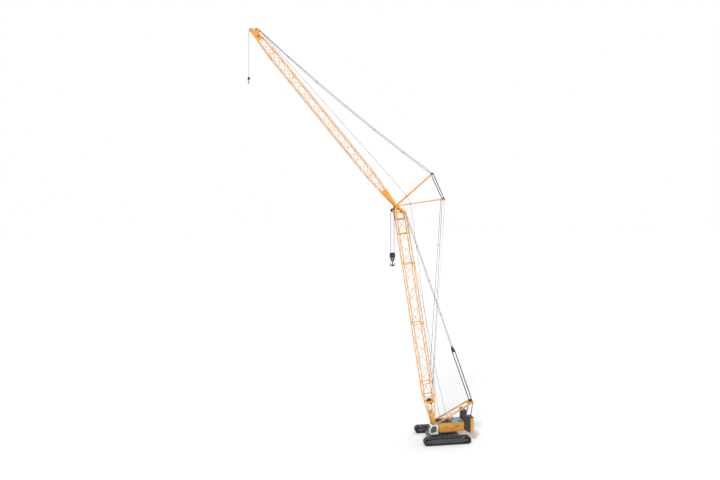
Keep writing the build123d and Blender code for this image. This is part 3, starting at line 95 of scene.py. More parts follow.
class Value:
    """A shader socket; arithmetic on it adds Math nodes."""

    def __init__(self, tree, socket):
        self.tree, self.socket = tree, socket

    def math(self, operation, other=None, clamp=False):
        node = self.tree.nodes.new("ShaderNodeMath")
        node.operation, node.use_clamp = operation, clamp
        for slot, value in zip(node.inputs, [self] if other is None else [self, other]):
            plug(self.tree, slot, value)
        return Value(self.tree, node.outputs[0])

    def clamp(self):
        return self.math("ADD", 0.0, clamp=True)


for sign, operation in (("add", "ADD"), ("radd", "ADD"), ("sub", "SUBTRACT"), ("mul", "MULTIPLY"),
                        ("truediv", "DIVIDE")):
    setattr(Value, f"__{sign}__", lambda self, other, operation=operation: self.math(operation, other))


class Nodes:
    """A node tree under construction, with one method for every node of its family."""

    def node(self, kind, settings=None, **inputs):
        """Adds a node: its settings first, then its sockets by name, _ for a space."""
        made = self.tree.nodes.new(kind if "Node" in kind else self.family + kind)
        for key, value in (settings or {}).items():
            setattr(made, key, value)
        for key, value in inputs.items():
            plug(self.tree, made.inputs[key.replace("_", " ")], value)
        return {o.name: Value(self.tree, o) for o in made.outputs if o.enabled}


class Finish(Nodes):
    """A material: noises and ramps that end in its Principled shader."""

    family = "ShaderNode"

    def __init__(self, name):
        self.material = bpy.data.materials.new(name)
        self.material.use_nodes = True
        self.tree = self.material.node_tree
        self.shader = self.tree.nodes["Principled BSDF"]
        self.place = self.node("TexCoord")["Object"]

    def noise(self, scale, detail=3.0, roughness=0.55, place=None):
        return self.node("TexNoise", Vector=place or self.place, Scale=scale, Detail=detail,
                         Roughness=roughness)["Fac"]

    def stretch(self, x, y, z):
        """The place scaled along each axis, for patterns that run one way."""
        return self.node("Mapping", Vector=self.place, Scale=(x, y, z))["Vector"]

    def ramp(self, value, low, high):
        """0 below low, 1 above high and straight between."""
        return self.node("MapRange", {"clamp": True}, Value=value, From_Min=low, From_Max=high)["Result"]

    def blend(self, amount, a, b):
        """Colour a where amount is 0 and b where it is 1."""
        made = self.tree.nodes.new("ShaderNodeMix")
        made.data_type = "RGBA"
        for index, value in ((0, amount), (6, a), (7, b)):
            plug(self.tree, made.inputs[index], value)
        return Value(self.tree, made.outputs[2])

    def bump(self, height, strength, distance):
        return self.node("Bump", Height=height, Strength=strength, Distance=distance)["Normal"]

    def set(self, **inputs):
        for key, value in inputs.items():
            plug(self.tree, self.shader.inputs[key.replace("_", " ")], value)
        return self.material


def grime(f, height=0.5):
    """Dust that gathers low down, in patches: 0 clean to 1 dusty."""
    z = f.node("SeparateXYZ", Vector=f.place)["Z"]
    return (f.noise(9.0) * f.ramp(z, height, 0.0)).clamp()


def paint(name, colour, rough=0.34, coat=0.35, dust=0.35, wear=0.5, chips=(0.10, 0.09, 0.085)):
    """Machine enamel: slight fading in broad patches, fine orange peel, runs of dirt and small chips."""
    f = Finish(name)
    fade = f.noise(1.7, 2.0)
    patch = f.noise(14.0, 4.0)
    darker = tuple(c * 0.86 for c in colour)
    lighter = tuple(min(1.0, c * 1.06 + 0.008) for c in colour)
    base = f.blend(f.ramp(fade, 0.35, 0.7), darker, lighter)
    streak = f.ramp(f.noise(1.0, 3.0, place=f.stretch(90.0, 90.0, 5.0)), 0.55, 0.8)
    base = f.blend(streak * 0.16, base, tuple(c * 0.45 for c in colour))
    chip = f.ramp(f.noise(160.0, 5.0, 0.7), 0.70, 0.74) * f.ramp(patch, 0.52, 0.62) * wear
    base = f.blend(chip, base, chips)
    base = f.blend(grime(f) * dust, base, (0.30, 0.27, 0.22))
    peel = f.noise(420.0, 2.0)
    roughness = rough + patch * 0.10 + streak * 0.12 + chip * 0.3
    return f.set(Base_Color=base, Roughness=roughness, Coat_Weight=coat, Coat_Roughness=0.12,
                 Normal=f.bump(peel * 0.35 - chip * 0.6, 0.12, 0.0006))


def cast(name, colour, bright=(0.32, 0.31, 0.30), rough=0.55, metal=0.35, shine=0.35, dust=0.5):
    """Dark working steel: mottled, dusty low down, with small bright patches that are rubbed wear and also
    painted highlights.
    """
    f = Finish(name)
    mottle = f.noise(22.0, 5.0)
    # the small bright patches: rubbed wear, and also painted highlights
    rub_wear_and_highlight = f.ramp(f.noise(60.0, 3.0), 0.60, 0.72) * shine
    base = f.blend(f.ramp(mottle, 0.3, 0.7), tuple(c * 0.7 for c in colour),
                   tuple(c * 1.35 for c in colour))
    base = f.blend(rub_wear_and_highlight, base, bright)
    base = f.blend(grime(f, 0.22) * dust, base, (0.22, 0.20, 0.17))
    grain = f.noise(260.0, 4.0)
    return f.set(Base_Color=base, Roughness=rough + mottle * 0.2 - rub_wear_and_highlight * 0.15, Metallic=metal + rub_wear_and_highlight * 0.4,
                 Normal=f.bump(grain, 0.25, 0.0008))


def wire(name, colour, pitch=0.011):
    """Wire rope: strands wound round it, with a painted highlight on each strand's crown and painted shade
    in the lay between strands.
    """
    f = Finish(name)
    lay = f.node("Attribute", {"attribute_name": "lay"})["Vector"]
    parts = f.node("SeparateXYZ", Vector=lay)
    wave = (parts["X"] / pitch + parts["Y"] * 6.0) * (2 * math.pi)
    strand_relief_and_shade = wave.math("SINE") * 0.5 + 0.5
    grease = f.ramp(f.noise(12.0, 3.0), 0.4, 0.7)
    # painted shade in the lay and painted highlight on the strand crowns
    base = f.blend(strand_relief_and_shade, tuple(c * 0.35 for c in colour), tuple(c * 1.3 for c in colour))
    base = f.blend(grease * 0.35, base, (0.03, 0.028, 0.025))
    return f.set(Base_Color=base, Roughness=0.55 + grease * 0.2, Metallic=0.1,
                 Normal=f.bump(strand_relief_and_shade, 0.6, 0.0006))


def plain(name, colour, rough=0.5, metal=0.0, coat=0.0, scale=120.0, depth=0.1):
    """A smaller part's finish: fine grain and a slight change of tone."""
    f = Finish(name)
    tone = f.noise(18.0, 3.0)
    base = f.blend(tone, tuple(c * 0.8 for c in colour), tuple(min(1, c * 1.15) for c in colour))
    return f.set(Base_Color=base, Roughness=rough + tone * 0.12 - 0.06, Metallic=metal, Coat_Weight=coat,
                 Normal=f.bump(f.noise(scale, 3.0), depth, 0.0006))


def striped(name, light, dark, width):
    """Warning stripes that run down at a slant, worn and greasy."""
    f = Finish(name)
    parts = f.node("SeparateXYZ", Vector=f.place)
    wave = ((parts["X"] + parts["Z"]) * (2 * math.pi / width)).math("SINE")
    grease = f.ramp(f.noise(40.0, 4.0), 0.4, 0.7)
    base = f.blend(f.ramp(wave, -0.08, 0.08), light, dark)
    base = f.blend(grease * 0.45, base, (0.03, 0.022, 0.012))
    return f.set(Base_Color=base, Roughness=0.42 + grease * 0.2, Coat_Weight=0.15,
                 Normal=f.bump(f.noise(300.0), 0.12, 0.0005))


def pane(name, colour, rough=0.04, alpha=0.55):
    """Tinted glass with a faint film of dust."""
    f = Finish(name)
    film = f.ramp(f.noise(7.0, 4.0), 0.45, 0.8)
    return f.set(Base_Color=f.blend(film * 0.2, colour, (0.4, 0.4, 0.38)), Roughness=rough + film * 0.12,
                 Alpha=alpha + film * 0.06, Specular_IOR_Level=0.7, Coat_Weight=0.6)


ORANGE = (0.82, 0.345, 0.014)
finishes = {
    "orange": paint("crane_orange", ORANGE),
    "white": paint("cab_white", (0.80, 0.82, 0.82), rough=0.28, coat=0.5, wear=0.25),
    "dark_frame": paint("frame_slate", (0.030, 0.037, 0.043), rough=0.5, coat=0.05, dust=0.12),
    "track_steel": cast("track_steel", (0.030, 0.036, 0.041), bright=(0.16, 0.165, 0.17), metal=0.15,
                        shine=0.25, dust=0.15),
    "counterweight_grey": paint("slab_charcoal", (0.035, 0.041, 0.045), rough=0.5, coat=0.08),
    "roof_grey": paint("roof_grey", (0.30, 0.33, 0.34), rough=0.45, coat=0.15),
    "black_winch": paint("machinery_black", (0.012, 0.012, 0.014), rough=0.4, coat=0.2),
    "strut_grey": paint("strut_blue_grey", (0.26, 0.30, 0.38), rough=0.4, coat=0.2),
    "stay_grey": plain("stay_strand", (0.075, 0.082, 0.09), rough=0.6),
    "rope": wire("wire_rope", (0.07, 0.072, 0.076)),
    "sheave": cast("sheave_iron", (0.02, 0.02, 0.022), shine=0.2, dust=0.1),
    "glass": pane("cab_pane", (0.05, 0.075, 0.075)),
    "seat": plain("seat_cloth", (0.03, 0.03, 0.034), rough=0.85, scale=600.0, depth=0.4),
    "bearing_steel": cast("bearing_steel", (0.16, 0.155, 0.15), metal=0.7, shine=0.5),
    "hook_black": cast("hook_forging", (0.02, 0.02, 0.021), shine=0.15, dust=0.0),
    "stripes": striped("block_stripes", (0.40, 0.24, 0.035), (0.03, 0.024, 0.02), 0.036),
    "pale_sheave": plain("cast_polymer", (0.42, 0.44, 0.44), rough=0.5),
    "ballast": paint("ballast_slate", (0.085, 0.097, 0.120), rough=0.5, coat=0.08, dust=0.2),
    "rubber": plain("hose_rubber", (0.012, 0.012, 0.012), rough=0.6),
    "chrome": plain("rod_chrome", (0.7, 0.7, 0.72), rough=0.12, metal=1.0, scale=30, depth=0.02),
    "grating": cast("walkway_grating", (0.20, 0.205, 0.21), metal=0.6, shine=0.3, dust=0.2),
    "rail_grey": plain("handrail_grey", (0.33, 0.34, 0.35), rough=0.4, metal=0.4),
    "lamp_clear": plain("lamp_clear", (0.75, 0.78, 0.8), rough=0.1, coat=0.8),
    "lamp_red": plain("lamp_red", (0.45, 0.02, 0.015), rough=0.18, coat=0.8),
    "lamp_amber": plain("lamp_amber", (0.75, 0.25, 0.01), rough=0.18, coat=0.8),
}

for node, obj in frame["nodes"].items():
    slot = next(s["material_slot"] for s in frame["record"]["subparts"] if s["node"] == node)
    obj.data.materials.clear()
    obj.data.materials.append(finishes[slot])

# ---- Geometry Nodes -----------------------------------------------------------------------
class Graph(Nodes):
    """A Geometry Nodes tree: named inputs, and a close that realizes and coats what it makes."""

    family = "GeometryNode"

    def __init__(self, name, inputs):
        self.tree = bpy.data.node_groups.new(name, "GeometryNodeTree")
        face = self.tree.interface
        face.new_socket("Geometry", in_out="INPUT", socket_type="NodeSocketGeometry")
        face.new_socket("Geometry", in_out="OUTPUT", socket_type="NodeSocketGeometry")
        for label, kind, value in inputs:
            made = face.new_socket(label, in_out="INPUT", socket_type=kind)
            if value is not None:
                made.default_value = value
        entry = self.tree.nodes.new("NodeGroupInput")
        self.given = {o.name: Value(self.tree, o) for o in entry.outputs if o.name}

    def close(self, geometry):
        """Ends the tree in Realize Instances and Set Material."""
        whole = self.node("RealizeInstances", Geometry=geometry)["Geometry"]
        coated = self.node("SetMaterial", Geometry=whole, Material=self.given["Material"])["Geometry"]
        leave = self.tree.nodes.new("NodeGroupOutput")
        plug(self.tree, leave.inputs[0], coated)
        return self.tree


def tube_graph():
    """Round tubes along the edges of a mesh; where a path bends, the bend is rounded."""
    g = Graph("tubes", (("Radius", "NodeSocketFloat", 0.004), ("Sides", "NodeSocketInt", 10),
                        ("Bend", "NodeSocketFloat", 0.0), ("Bend Steps", "NodeSocketInt", 5),
                        ("Material", "NodeSocketMaterial", None)))
    path = g.node("MeshToCurve", Mesh=g.given["Geometry"])["Curve"]
    path = g.node("FilletCurve", {"mode": "POLY"}, Curve=path, Radius=g.given["Bend"],
                  Count=g.given["Bend Steps"], Limit_Radius=True)["Curve"]
    ring = g.node("CurvePrimitiveCircle", Resolution=g.given["Sides"], Radius=g.given["Radius"])["Curve"]
    wall = g.node("CurveToMesh", Curve=path, Profile_Curve=ring, Fill_Caps=True)["Mesh"]
    return g.close(wall)


def rope_graph():
    """Rope along the edges of a mesh, with its length and its turn kept as an attribute for the lay."""
    g = Graph("ropes", (("Radius", "NodeSocketFloat", 0.0015), ("Sides", "NodeSocketInt", 8),
                        ("Step", "NodeSocketFloat", 0.05), ("Material", "NodeSocketMaterial", None)))
    path = g.node("MeshToCurve", Mesh=g.given["Geometry"])["Curve"]
    path = g.node("ResampleCurve", {"mode": "LENGTH"}, Curve=path, Length=g.given["Step"])["Curve"]
    along = g.node("SplineParameter")["Length"]
    path = g.node("StoreNamedAttribute", {"data_type": "FLOAT", "domain": "POINT"}, Geometry=path,
                  Name="rope_run", Value=along)["Geometry"]
    ring = g.node("CurvePrimitiveCircle", Resolution=g.given["Sides"], Radius=g.given["Radius"])["Curve"]
    turn = g.node("SplineParameter")["Factor"]
    ring = g.node("StoreNamedAttribute", {"data_type": "FLOAT", "domain": "POINT"}, Geometry=ring,
                  Name="rope_turn", Value=turn)["Geometry"]
    wall = g.node("CurveToMesh", Curve=path, Profile_Curve=ring, Fill_Caps=True)["Mesh"]
    run = g.node("InputNamedAttribute", {"data_type": "FLOAT"}, Name="rope_run")["Attribute"]
    about = g.node("InputNamedAttribute", {"data_type": "FLOAT"}, Name="rope_turn")["Attribute"]
    lay = g.node("ShaderNodeCombineXYZ", X=run, Y=about, Z=0.0)["Vector"]
    wall = g.node("StoreNamedAttribute", {"data_type": "FLOAT_VECTOR", "domain": "POINT"}, Geometry=wall,
                  Name="lay", Value=lay)["Geometry"]
    return g.close(wall)


def copies_graph():
    """Copies of one small part on the points of a mesh, each turned by its own angles."""
    g = Graph("copies", (("Part", "NodeSocketObject", None), ("Material", "NodeSocketMaterial", None)))
    part = g.node("ObjectInfo", Object=g.given["Part"])["Geometry"]
    turn = g.node("InputNamedAttribute", {"data_type": "FLOAT_VECTOR"}, Name="turn")["Attribute"]
    turn = g.node("FunctionNodeEulerToRotation", Euler=turn)["Rotation"]
    size = g.node("InputNamedAttribute", {"data_type": "FLOAT_VECTOR"}, Name="size")["Attribute"]
    placed = g.node("InstanceOnPoints", Points=g.given["Geometry"], Instance=part, Rotation=turn,
                    Scale=size)["Instances"]
    return g.close(placed)


GRAPHS = {"tubes": tube_graph(), "ropes": rope_graph(), "copies": copies_graph()}


def grow(name, source, material, **inputs):
    """Runs a mesh through one of the trees and returns the plain mesh that comes out."""
    tree = GRAPHS[name]
    holder = bpy.data.objects.new("growing", source)
    scene.collection.objects.link(holder)
    modifier = holder.modifiers.new("tree", "NODES")
    modifier.node_group = tree
    keys = {i.name: i.identifier for i in tree.interface.items_tree
            if i.item_type == "SOCKET" and i.in_out == "INPUT"}
    modifier[keys["Material"]] = material
    for label, value in inputs.items():
        modifier[keys[label.replace("_", " ")]] = value
    holder.update_tag()
    bpy.context.view_layer.update()
    grown = bpy.data.meshes.new_from_object(holder.evaluated_get(bpy.context.evaluated_depsgraph_get()))
    holder.modifiers.remove(modifier)
    bpy.data.objects.remove(holder)
    return grown


# ---- pieces -------------------------------------------------------------------------------
def vec(*values):
    return Vector(values)


SIDES = (1, -1)  # left and right, or front and rear
ACROSS, UP = vec(0, 1, 0), vec(0, 0, 1)
STEEL, SLATE, BLACK, TRACK, RAIL = "bearing_steel", "dark_frame", "black_winch", "track_steel", "rail_grey"
EDGE_TURN = 0.5  # edges of shapes that turn by more, in radians, get their bevel
SHARP_TURN = math.radians(38.0)  # edges that turn by more are shaded sharp
FLAT_TURN = math.radians(0.6)  # faces of the solid that turn by less are one face


def axes_for(direction, up=UP):
    """A turn that sets local z along the direction."""
    z = direction.normalized()
    x = up.cross(z)
    if x.length < 1e-4:
        x = vec(1, 0, 0).cross(z) if abs(z.x) < 0.9 else ACROSS.cross(z)
    x.normalize()
    return Matrix((x, z.cross(x), z)).transposed()


def around(count, start=0.0):
    """Evenly spaced angles of a full turn."""
    return [2 * math.pi * (k + start) / count for k in range(count)]


def orbit(centre, radius, angle, y=None):
    """The point at an angle from +X round a crosswise axis through the centre."""
    return vec(centre.x + radius * math.cos(angle), centre.y if y is None else y,
               centre.z + radius * math.sin(angle))


def spots_between(start, end, count):
    return [start.lerp(end, k / count) for k in range(count + 1)]


def path_mesh(paths):
    """A mesh of edges along the paths."""
    source = bpy.data.meshes.new("paths")
    verts, links = [], []
    for path in paths:
        links += [(k, k + 1) for k in range(len(verts), len(verts) + len(path) - 1)]
        verts += [tuple(p) for p in path]
    source.from_pydata(verts, links, [])
    return source


def skin(part, rings, closed=False):
    """Faces between rings of vertices; a ring of one vertex closes the end."""
    for low, high in zip(rings, rings[1:]):
        for k in range(max(len(low), len(high))):
            m = k + 1
            face = [low[k % len(low)], low[m % len(low)], high[m % len(high)], high[k % len(high)]]
            face = list(dict.fromkeys(face))
            if len(face) > 2:
                part.faces.new(face)
    if closed:
        part.faces.new(rings[0])
        part.faces.new(rings[-1])
    bmesh.ops.recalc_face_normals(part, faces=part.faces)


class Piece:
    """One visible piece: meshes with their own finishes, set out from the point at."""

    def __init__(self, name, at=(0, 0, 0)):
        self.name, self.at, self.bm, self.slots = name, Matrix.Translation(at), bmesh.new(), []

    def index(self, finish):
        if finish not in self.slots:
            self.slots.append(finish)
        return self.slots.index(finish)

    def mesh(self, mesh, finish):
        """Adds a mesh and returns its faces."""
        before = len(self.bm.faces)
        mesh.transform(self.at)
        self.bm.from_mesh(mesh)
        bpy.data.meshes.remove(mesh)
        self.bm.faces.ensure_lookup_table()
        for face in self.bm.faces[before:]:
            face.material_index = self.index(finish)
        return self.bm.faces[before:]

    def keep(self, part, finish):
        made = bpy.data.meshes.new("part")
        part.to_mesh(made)
        part.free()
        return self.mesh(made, finish)

    def shape(self, build, finish, place=None, bevel=0.0, segments=2):
        """Adds what build(bm) makes, with an optional bevel, set at place."""
        part = bmesh.new()
        build(part)
        if bevel > 0:
            round_off(part, EDGE_TURN, bevel, segments)
        if place is not None:
            part.transform(place)
        self.keep(part, finish)

    def box(self, low, high, finish, bevel=0.0015, segments=2, turn=None):
        """A block between two corners, given in any order."""
        low, high = (Vector(map(pick, low, high)) for pick in (min, max))
        size = high - low
        place = Matrix.Translation((low + high) / 2)
        if turn is not None:
            place = place @ turn.to_4x4()
        self.shape(lambda part: bmesh.ops.create_cube(part, size=1.0, matrix=Matrix.Diagonal((*size, 1))),
                   finish, place, min(bevel, min(size) * 0.3), segments)

    def turned(self, profile, origin, direction, finish, sides=24):
        """A lathed part: profile is (radius, distance along the direction) from end to end."""
        def build(part):
            skin(part, [[part.verts.new((radius * math.cos(a), radius * math.sin(a), height))
                         for a in (around(sides) if radius > 1e-7 else [0.0])]
                        for radius, height in profile])

        self.shape(build, finish, Matrix.Translation(origin) @ axes_for(Vector(direction)).to_4x4())

    def disc(self, centre, radius, low, high, finish, sides=24, edge=0.0008):
        """A round part about a crosswise (Y) axis, between two places along it, with softened edges."""
        low, high = sorted((low, high))
        edge = min(edge, (high - low) * 0.3, radius * 0.3)
        profile = [(0, 0), (radius - edge, 0), (radius, edge), (radius, high - low - edge),
                   (radius - edge, high - low), (0, high - low)]
        self.turned(profile, (centre[0], low, centre[2]), ACROSS, finish, sides)

    def pair(self, centre, radius, low, high, *style):
        """The same round part on the left and on the right."""
        for side in SIDES:
            self.disc(centre, radius, side * low, side * high, *style)

    def plate(self, outline, origin, across, along, thickness, finish, bevel=0.0008):
        """A flat plate: outline in (across, along) coordinates about the origin, grown both ways."""
        across, along = Vector(across).normalized(), Vector(along).normalized()
        place = Matrix.Translation(origin) @ Matrix((across, along,
                                                     across.cross(along))).transposed().to_4x4()

        def build(part):
            skin(part, [[part.verts.new((x, y, z)) for x, y in outline]
                        for z in (-thickness / 2, thickness / 2)], True)

        self.shape(build, finish, place, bevel, 1)

    def standing(self, outline, y, thickness, finish, bevel=0.0008):
        """A plate square to Y, with its outline as (x, z)."""
        self.plate(outline, (0, y, 0), (1, 0, 0), UP, thickness, finish, bevel)

    def tubes(self, paths, radius, finish, sides=10, bend=0.0):
        """Tubes along (start, end) pairs or along longer paths."""
        self.mesh(grow("tubes", path_mesh(paths), finishes[finish], Radius=radius, Sides=sides, Bend=bend),
                  finish)

    def ropes(self, paths, radius, sides=8, step=0.009):
        self.mesh(grow("ropes", path_mesh(paths), finishes["rope"], Radius=radius, Sides=sides, Step=step),
                  "rope")

    def copies(self, part, places, finish):
        """Copies of a small part (a Piece) at (point, direction or turn, size) triples."""
        mesh = bpy.data.meshes.new("one")
        part.bm.to_mesh(mesh)
        holder = bpy.data.objects.new("one", mesh)
        source = bpy.data.meshes.new("spots")
        source.from_pydata([tuple(place[0]) for place in places], [], [])
        turns = [(aim if isinstance(aim, Matrix) else axes_for(Vector(aim))).to_euler()
                 for _, aim, _ in places]
        for label, values in (("turn", turns), ("size", [(size,) * 3 for *_, size in places])):
            layer = source.attributes.new(label, "FLOAT_VECTOR", "POINT")
            for entry, value in zip(layer.data, values):
                entry.vector = value
        self.mesh(grow("copies", source, finishes[finish], Part=holder), finish)
        bpy.data.objects.remove(holder)

    def done(self, body, replaces=(), slot="orange"):
        """Makes the object, shades it and sets it on its body."""
        mesh = bpy.data.meshes.new(self.name)
        self.bm.to_mesh(mesh)
        self.bm.free()
        for finish in self.slots:
            mesh.materials.append(finishes[finish])
        mesh.polygons.foreach_set("use_smooth", [True] * len(mesh.polygons))
        mesh.set_sharp_from_angle(angle=SHARP_TURN)
        made = bpy.data.objects.new(self.name, mesh)
        scene.collection.objects.link(made)
        if replaces:
            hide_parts(*replaces)
        if body:
            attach(made, body)
        return made


def round_off(part, angle, offset, segments):
    """Bevels the edges that turn by more than the angle."""
    edges = [e for e in part.edges if len(e.link_faces) == 2 and e.calc_face_angle(0) > angle]
    bmesh.ops.bevel(part, geom=edges, offset=offset, segments=segments, profile=0.6, affect="EDGES",
                    clamp_overlap=True)


def softened(piece, node, finish, offset=0.0012, angle=34.0, pick=None, merge=True):
    """Adds a copy of a solid node with its edges rounded; pick(face) may name another finish for a face."""
    source = frame["nodes"][node]
    part = bmesh.new()
    part.from_mesh(source.data)
    part.transform(source.matrix_world)
    bmesh.ops.remove_doubles(part, verts=part.verts, dist=2e-5)
    if merge:
        bmesh.ops.dissolve_limit(part, angle_limit=FLAT_TURN, verts=part.verts, edges=part.edges)
    if offset > 0:
        round_off(part, math.radians(angle), offset, 2)
    part.transform(piece.at.inverted())
    for face in piece.keep(part, finish):
        other = pick(face) if pick else None
        if other:
            face.material_index = piece.index(other)


# ---- the crane's own lines and sizes, in metres -------------------------------------------
class Line:
    """A straight member seen from the side: along it is t, square to it and forward is f."""

    def __init__(self, x, z, angle):
        self.x, self.z, self.angle = x, z, angle
        self.along = vec(math.cos(math.radians(angle)), 0, math.sin(math.radians(angle)))
        self.forward = vec(math.sin(math.radians(angle)), 0, -math.cos(math.radians(angle)))

    def point(self, t, f=0.0, y=0.0):
        return vec(self.x, y, self.z) + self.along * t + self.forward * f


def line_between(start, end):
    run = end - start
    return Line(start.x, start.z, math.degrees(math.atan2(run.z, run.x))), run.length


foot_x, foot_z = 0.186, 0.273
boom = Line(foot_x, foot_z, 81.0)
jib_pivot = boom.point(4.42, 0.065)
jib = Line(jib_pivot.x, jib_pivot.z, 50.3)
front_strut = Line(jib_pivot.x, jib_pivot.z, 139.1)
rear_strut = Line(jib_pivot.x, jib_pivot.z, 171.7)
strut_length = 0.98
front_tip, rear_tip = front_strut.point(strut_length), rear_strut.point(strut_length)
frame_foot, frame_head = vec(0.11, 0, 0.33), vec(-0.603, 0, 0.70)
a_frame, frame_run = line_between(frame_foot, frame_head)
main_sheave = boom.point(4.351, 0.145)
jib_sheave = jib.point(4.382, 0.029)
jib_stay_head = jib.point(4.286, -0.094)
jib_guide = jib.point(4.318, -0.058)
stay_pin = boom.point(4.265, -0.105)
rear_stay_foot = boom.point(0.832, -0.094)
rear_stay_head = rear_strut.point(0.944)
boom_depth, boom_width, boom_chord, boom_lacing = 0.200, 0.216, 0.0086, 0.0048
jib_depth, jib_width, jib_chord, jib_lacing = 0.150, 0.174, 0.0070, 0.0040


# ---- shared shapes ------------------------------------------------------------------------
def side_plate(piece, member, outline, y, thickness, finish, bevel=0.0008):
    """A plate square to Y at y, with its outline as (along, forward) of a member."""
    return piece.plate(outline, member.point(0, 0, y), member.along, member.forward, thickness, finish,
                       bevel)


def ring_plate(piece, member, outer, inner, y, thickness, finish, bevel=0.001):
    """A plate with one opening: outer and inner have the same number of (along, forward) corners."""
    def build(part):
        rows = [[part.verts.new(member.point(t, f, y + offset)) for t, f in loop]
                for loop, offset in ((outer, -thickness / 2), (outer, thickness / 2),
                                     (inner, thickness / 2), (inner, -thickness / 2))]
        skin(part, rows + rows[:1])

    piece.shape(build, finish, None, bevel, 1)


def smooth_path(points, steps=6):
    """A rounded run through the points, with the radius that goes with each."""
    rows = [Vector((*p, r)) for p, r in points]
    out = []
    for k in range(len(rows) - 1):
        a, b, c, d = rows[max(k - 1, 0)], rows[k], rows[k + 1], rows[min(k + 2, len(rows) - 1)]
        for u in (j / steps for j in range(steps)):
            out.append(0.5 * ((2 * b) + (c - a) * u + (2 * a - 5 * b + 4 * c - d) * u * u
                              + (3 * b - a - 3 * c + d) * u ** 3))
    return [(row.xyz, row.w) for row in out + rows[-1:]]


def swept(piece, points, finish, sides=14, steps=6):
    """A forged shape: a round section of changing radius along a rounded run of points."""
    rows = smooth_path(points, steps)

    def build(part):
        rings = []
        for k, (spot, radius) in enumerate(rows):
            run = (rows[min(k + 1, len(rows) - 1)][0] - rows[max(k - 1, 0)][0]).normalized()
            right = ACROSS.cross(run).normalized()
            up = run.cross(right)
            rings.append([part.verts.new(spot + (right * math.cos(a) + up * math.sin(a)) * radius)
                          for a in around(sides)])
        skin(part, rings, True)

    piece.shape(build, finish)


def mirrored(half):
    """A lathe profile or an outline from its first half: the second half is the same with the other sign."""
    return half + [(a, -b) for a, b in reversed(half)]


def even(half):
    """An (x, z) outline from its left half, given from the top down."""
    return half + [(-x, z) for x, z in reversed(half)]


def sheaves(piece, centre, radius, ys, half, finish="sheave", sides=36, groove=0.0035):
    """Rope sheaves about a crosswise axis: dished webs, a hub and a grooved rim."""
    profile = mirrored([(0, -half), (radius * 0.30, -half), (radius * 0.33, -half * 0.55),
                        (radius * 0.78, -half * 0.45), (radius * 0.82, -half * 0.9),
                        (radius - 0.0006, -half * 0.9), (radius, -half * 0.75),
                        (radius - groove, -half * 0.22)])
    for y in ys:
        piece.turned(profile, (centre.x, y, centre.z), ACROSS, finish, sides)


def bolt_part(size=0.004):
    """A hexagon bolt head on a washer, standing along local z."""
    part = Piece("bolt")
    part.turned([(0, 0), (size * 0.95, 0), (size * 0.95, size * 0.15), (0, size * 0.15)], (0, 0, 0), UP,
                RAIL, 12)
    part.turned([(0, 0), (size * 0.62, 0), (size * 0.62, size * 0.6), (size * 0.5, size * 0.7),
                 (0, size * 0.7)],
                (0, 0, size * 0.1), UP, RAIL, 6)
    return part


def link_part(r):
    """The fork, eye and pin that join two stay rods of radius r: z along the rod, x along the pin."""
    part = Piece("link")
    for sign in SIDES:
        part.turned([(r, -5 * r * sign), (1.7 * r, -4 * r * sign), (1.7 * r, -2.4 * r * sign),
                     (0, -2.2 * r * sign)],
                    (0, 0, 0), UP, "stay_grey", 8)
    for x in (-1.15, 0.75):
        part.box((x * r, -1.6 * r, -3.4 * r), ((x + 0.4) * r, 1.6 * r, 1.6 * r), "stay_grey", 0.0006, 1)
    part.box((-0.7 * r, -1.5 * r, -1.4 * r), (0.7 * r, 1.5 * r, 3.2 * r), "stay_grey", 0.0006, 1)
    part.turned(mirrored([(0, -1.7 * r), (0.8 * r, -1.7 * r)]), (0, 0, 0), (1, 0, 0), "stay_grey", 10)
    return part


def pendants(piece, spots, radius):
    """Stay rods through the spots, joined by forks and ending in flat eyes about crosswise pins."""
    run_in, run_out = (spots[1] - spots[0]).normalized(), (spots[-1] - spots[-2]).normalized()
    path = [spots[0] + run_in * 0.007] + spots[1:-1] + [spots[-1] - run_out * 0.007]
    piece.tubes([path], radius, "stay_grey", 10)
    marks = [(spots[k], axes_for(spots[k + 1] - spots[k - 1], ACROSS), 1.0)
             for k in range(1, len(spots) - 1)]
    piece.copies(link_part(radius), marks, "stay_grey")
    for spot, run in ((spots[0], run_in), (spots[-1], -run_out)):
        piece.disc(spot, 0.0095, spot.y - 0.0038, spot.y + 0.0038, "stay_grey", 20)
        flat = vec(run.x, 0, run.z).normalized()
        piece.plate(mirrored([(0, -0.0075), (0.022, -0.0045), (0.030, -radius)]), spot + flat * 0.006, flat,
                    ACROSS.cross(flat), 0.0066, "stay_grey", 0.0006)


def wound(piece, centre, y_low, y_high, radius, rope, steps=20):
    """One layer of rope wound on a drum between two places along Y."""
    turns = int((y_high - y_low) / (2.05 * rope))
    path = [orbit(centre, radius, 2 * math.pi * k / steps,
                  y_low + rope + (y_high - y_low - 2 * rope) * k / (turns * steps))
            for k in range(turns * steps + 1)]
    piece.ropes([path], rope, 6, 0.012)


# ---- boom and jib lattices ----------------------------------------------------------------
def corners(member, t, depth, width):
    """The four chord centres of a section at t: front left, front right, rear right, rear left."""
    return [member.point(t, f * depth / 2, y * width / 2) for f, y in ((1, 1), (1, -1), (-1, -1), (-1, 1))]


def lug_part():
    """The fork and eye that join two chords, with its pin: local z along the chord."""
    part = Piece("lug")
    part.turned([(0.0078, -0.016), (0.0092, -0.008), (0.0098, 0.0)], (0, 0, 0), UP, "orange", 12)
    part.box((-0.0095, -0.0035, -0.004), (0.0095, 0.0035, 0.012), "orange", 0.0012, 1)
    part.turned(mirrored([(0, -0.011), (0.0042, -0.011)]), (0, 0, 0.003), (1, 0, 0), "orange", 8)
    return part


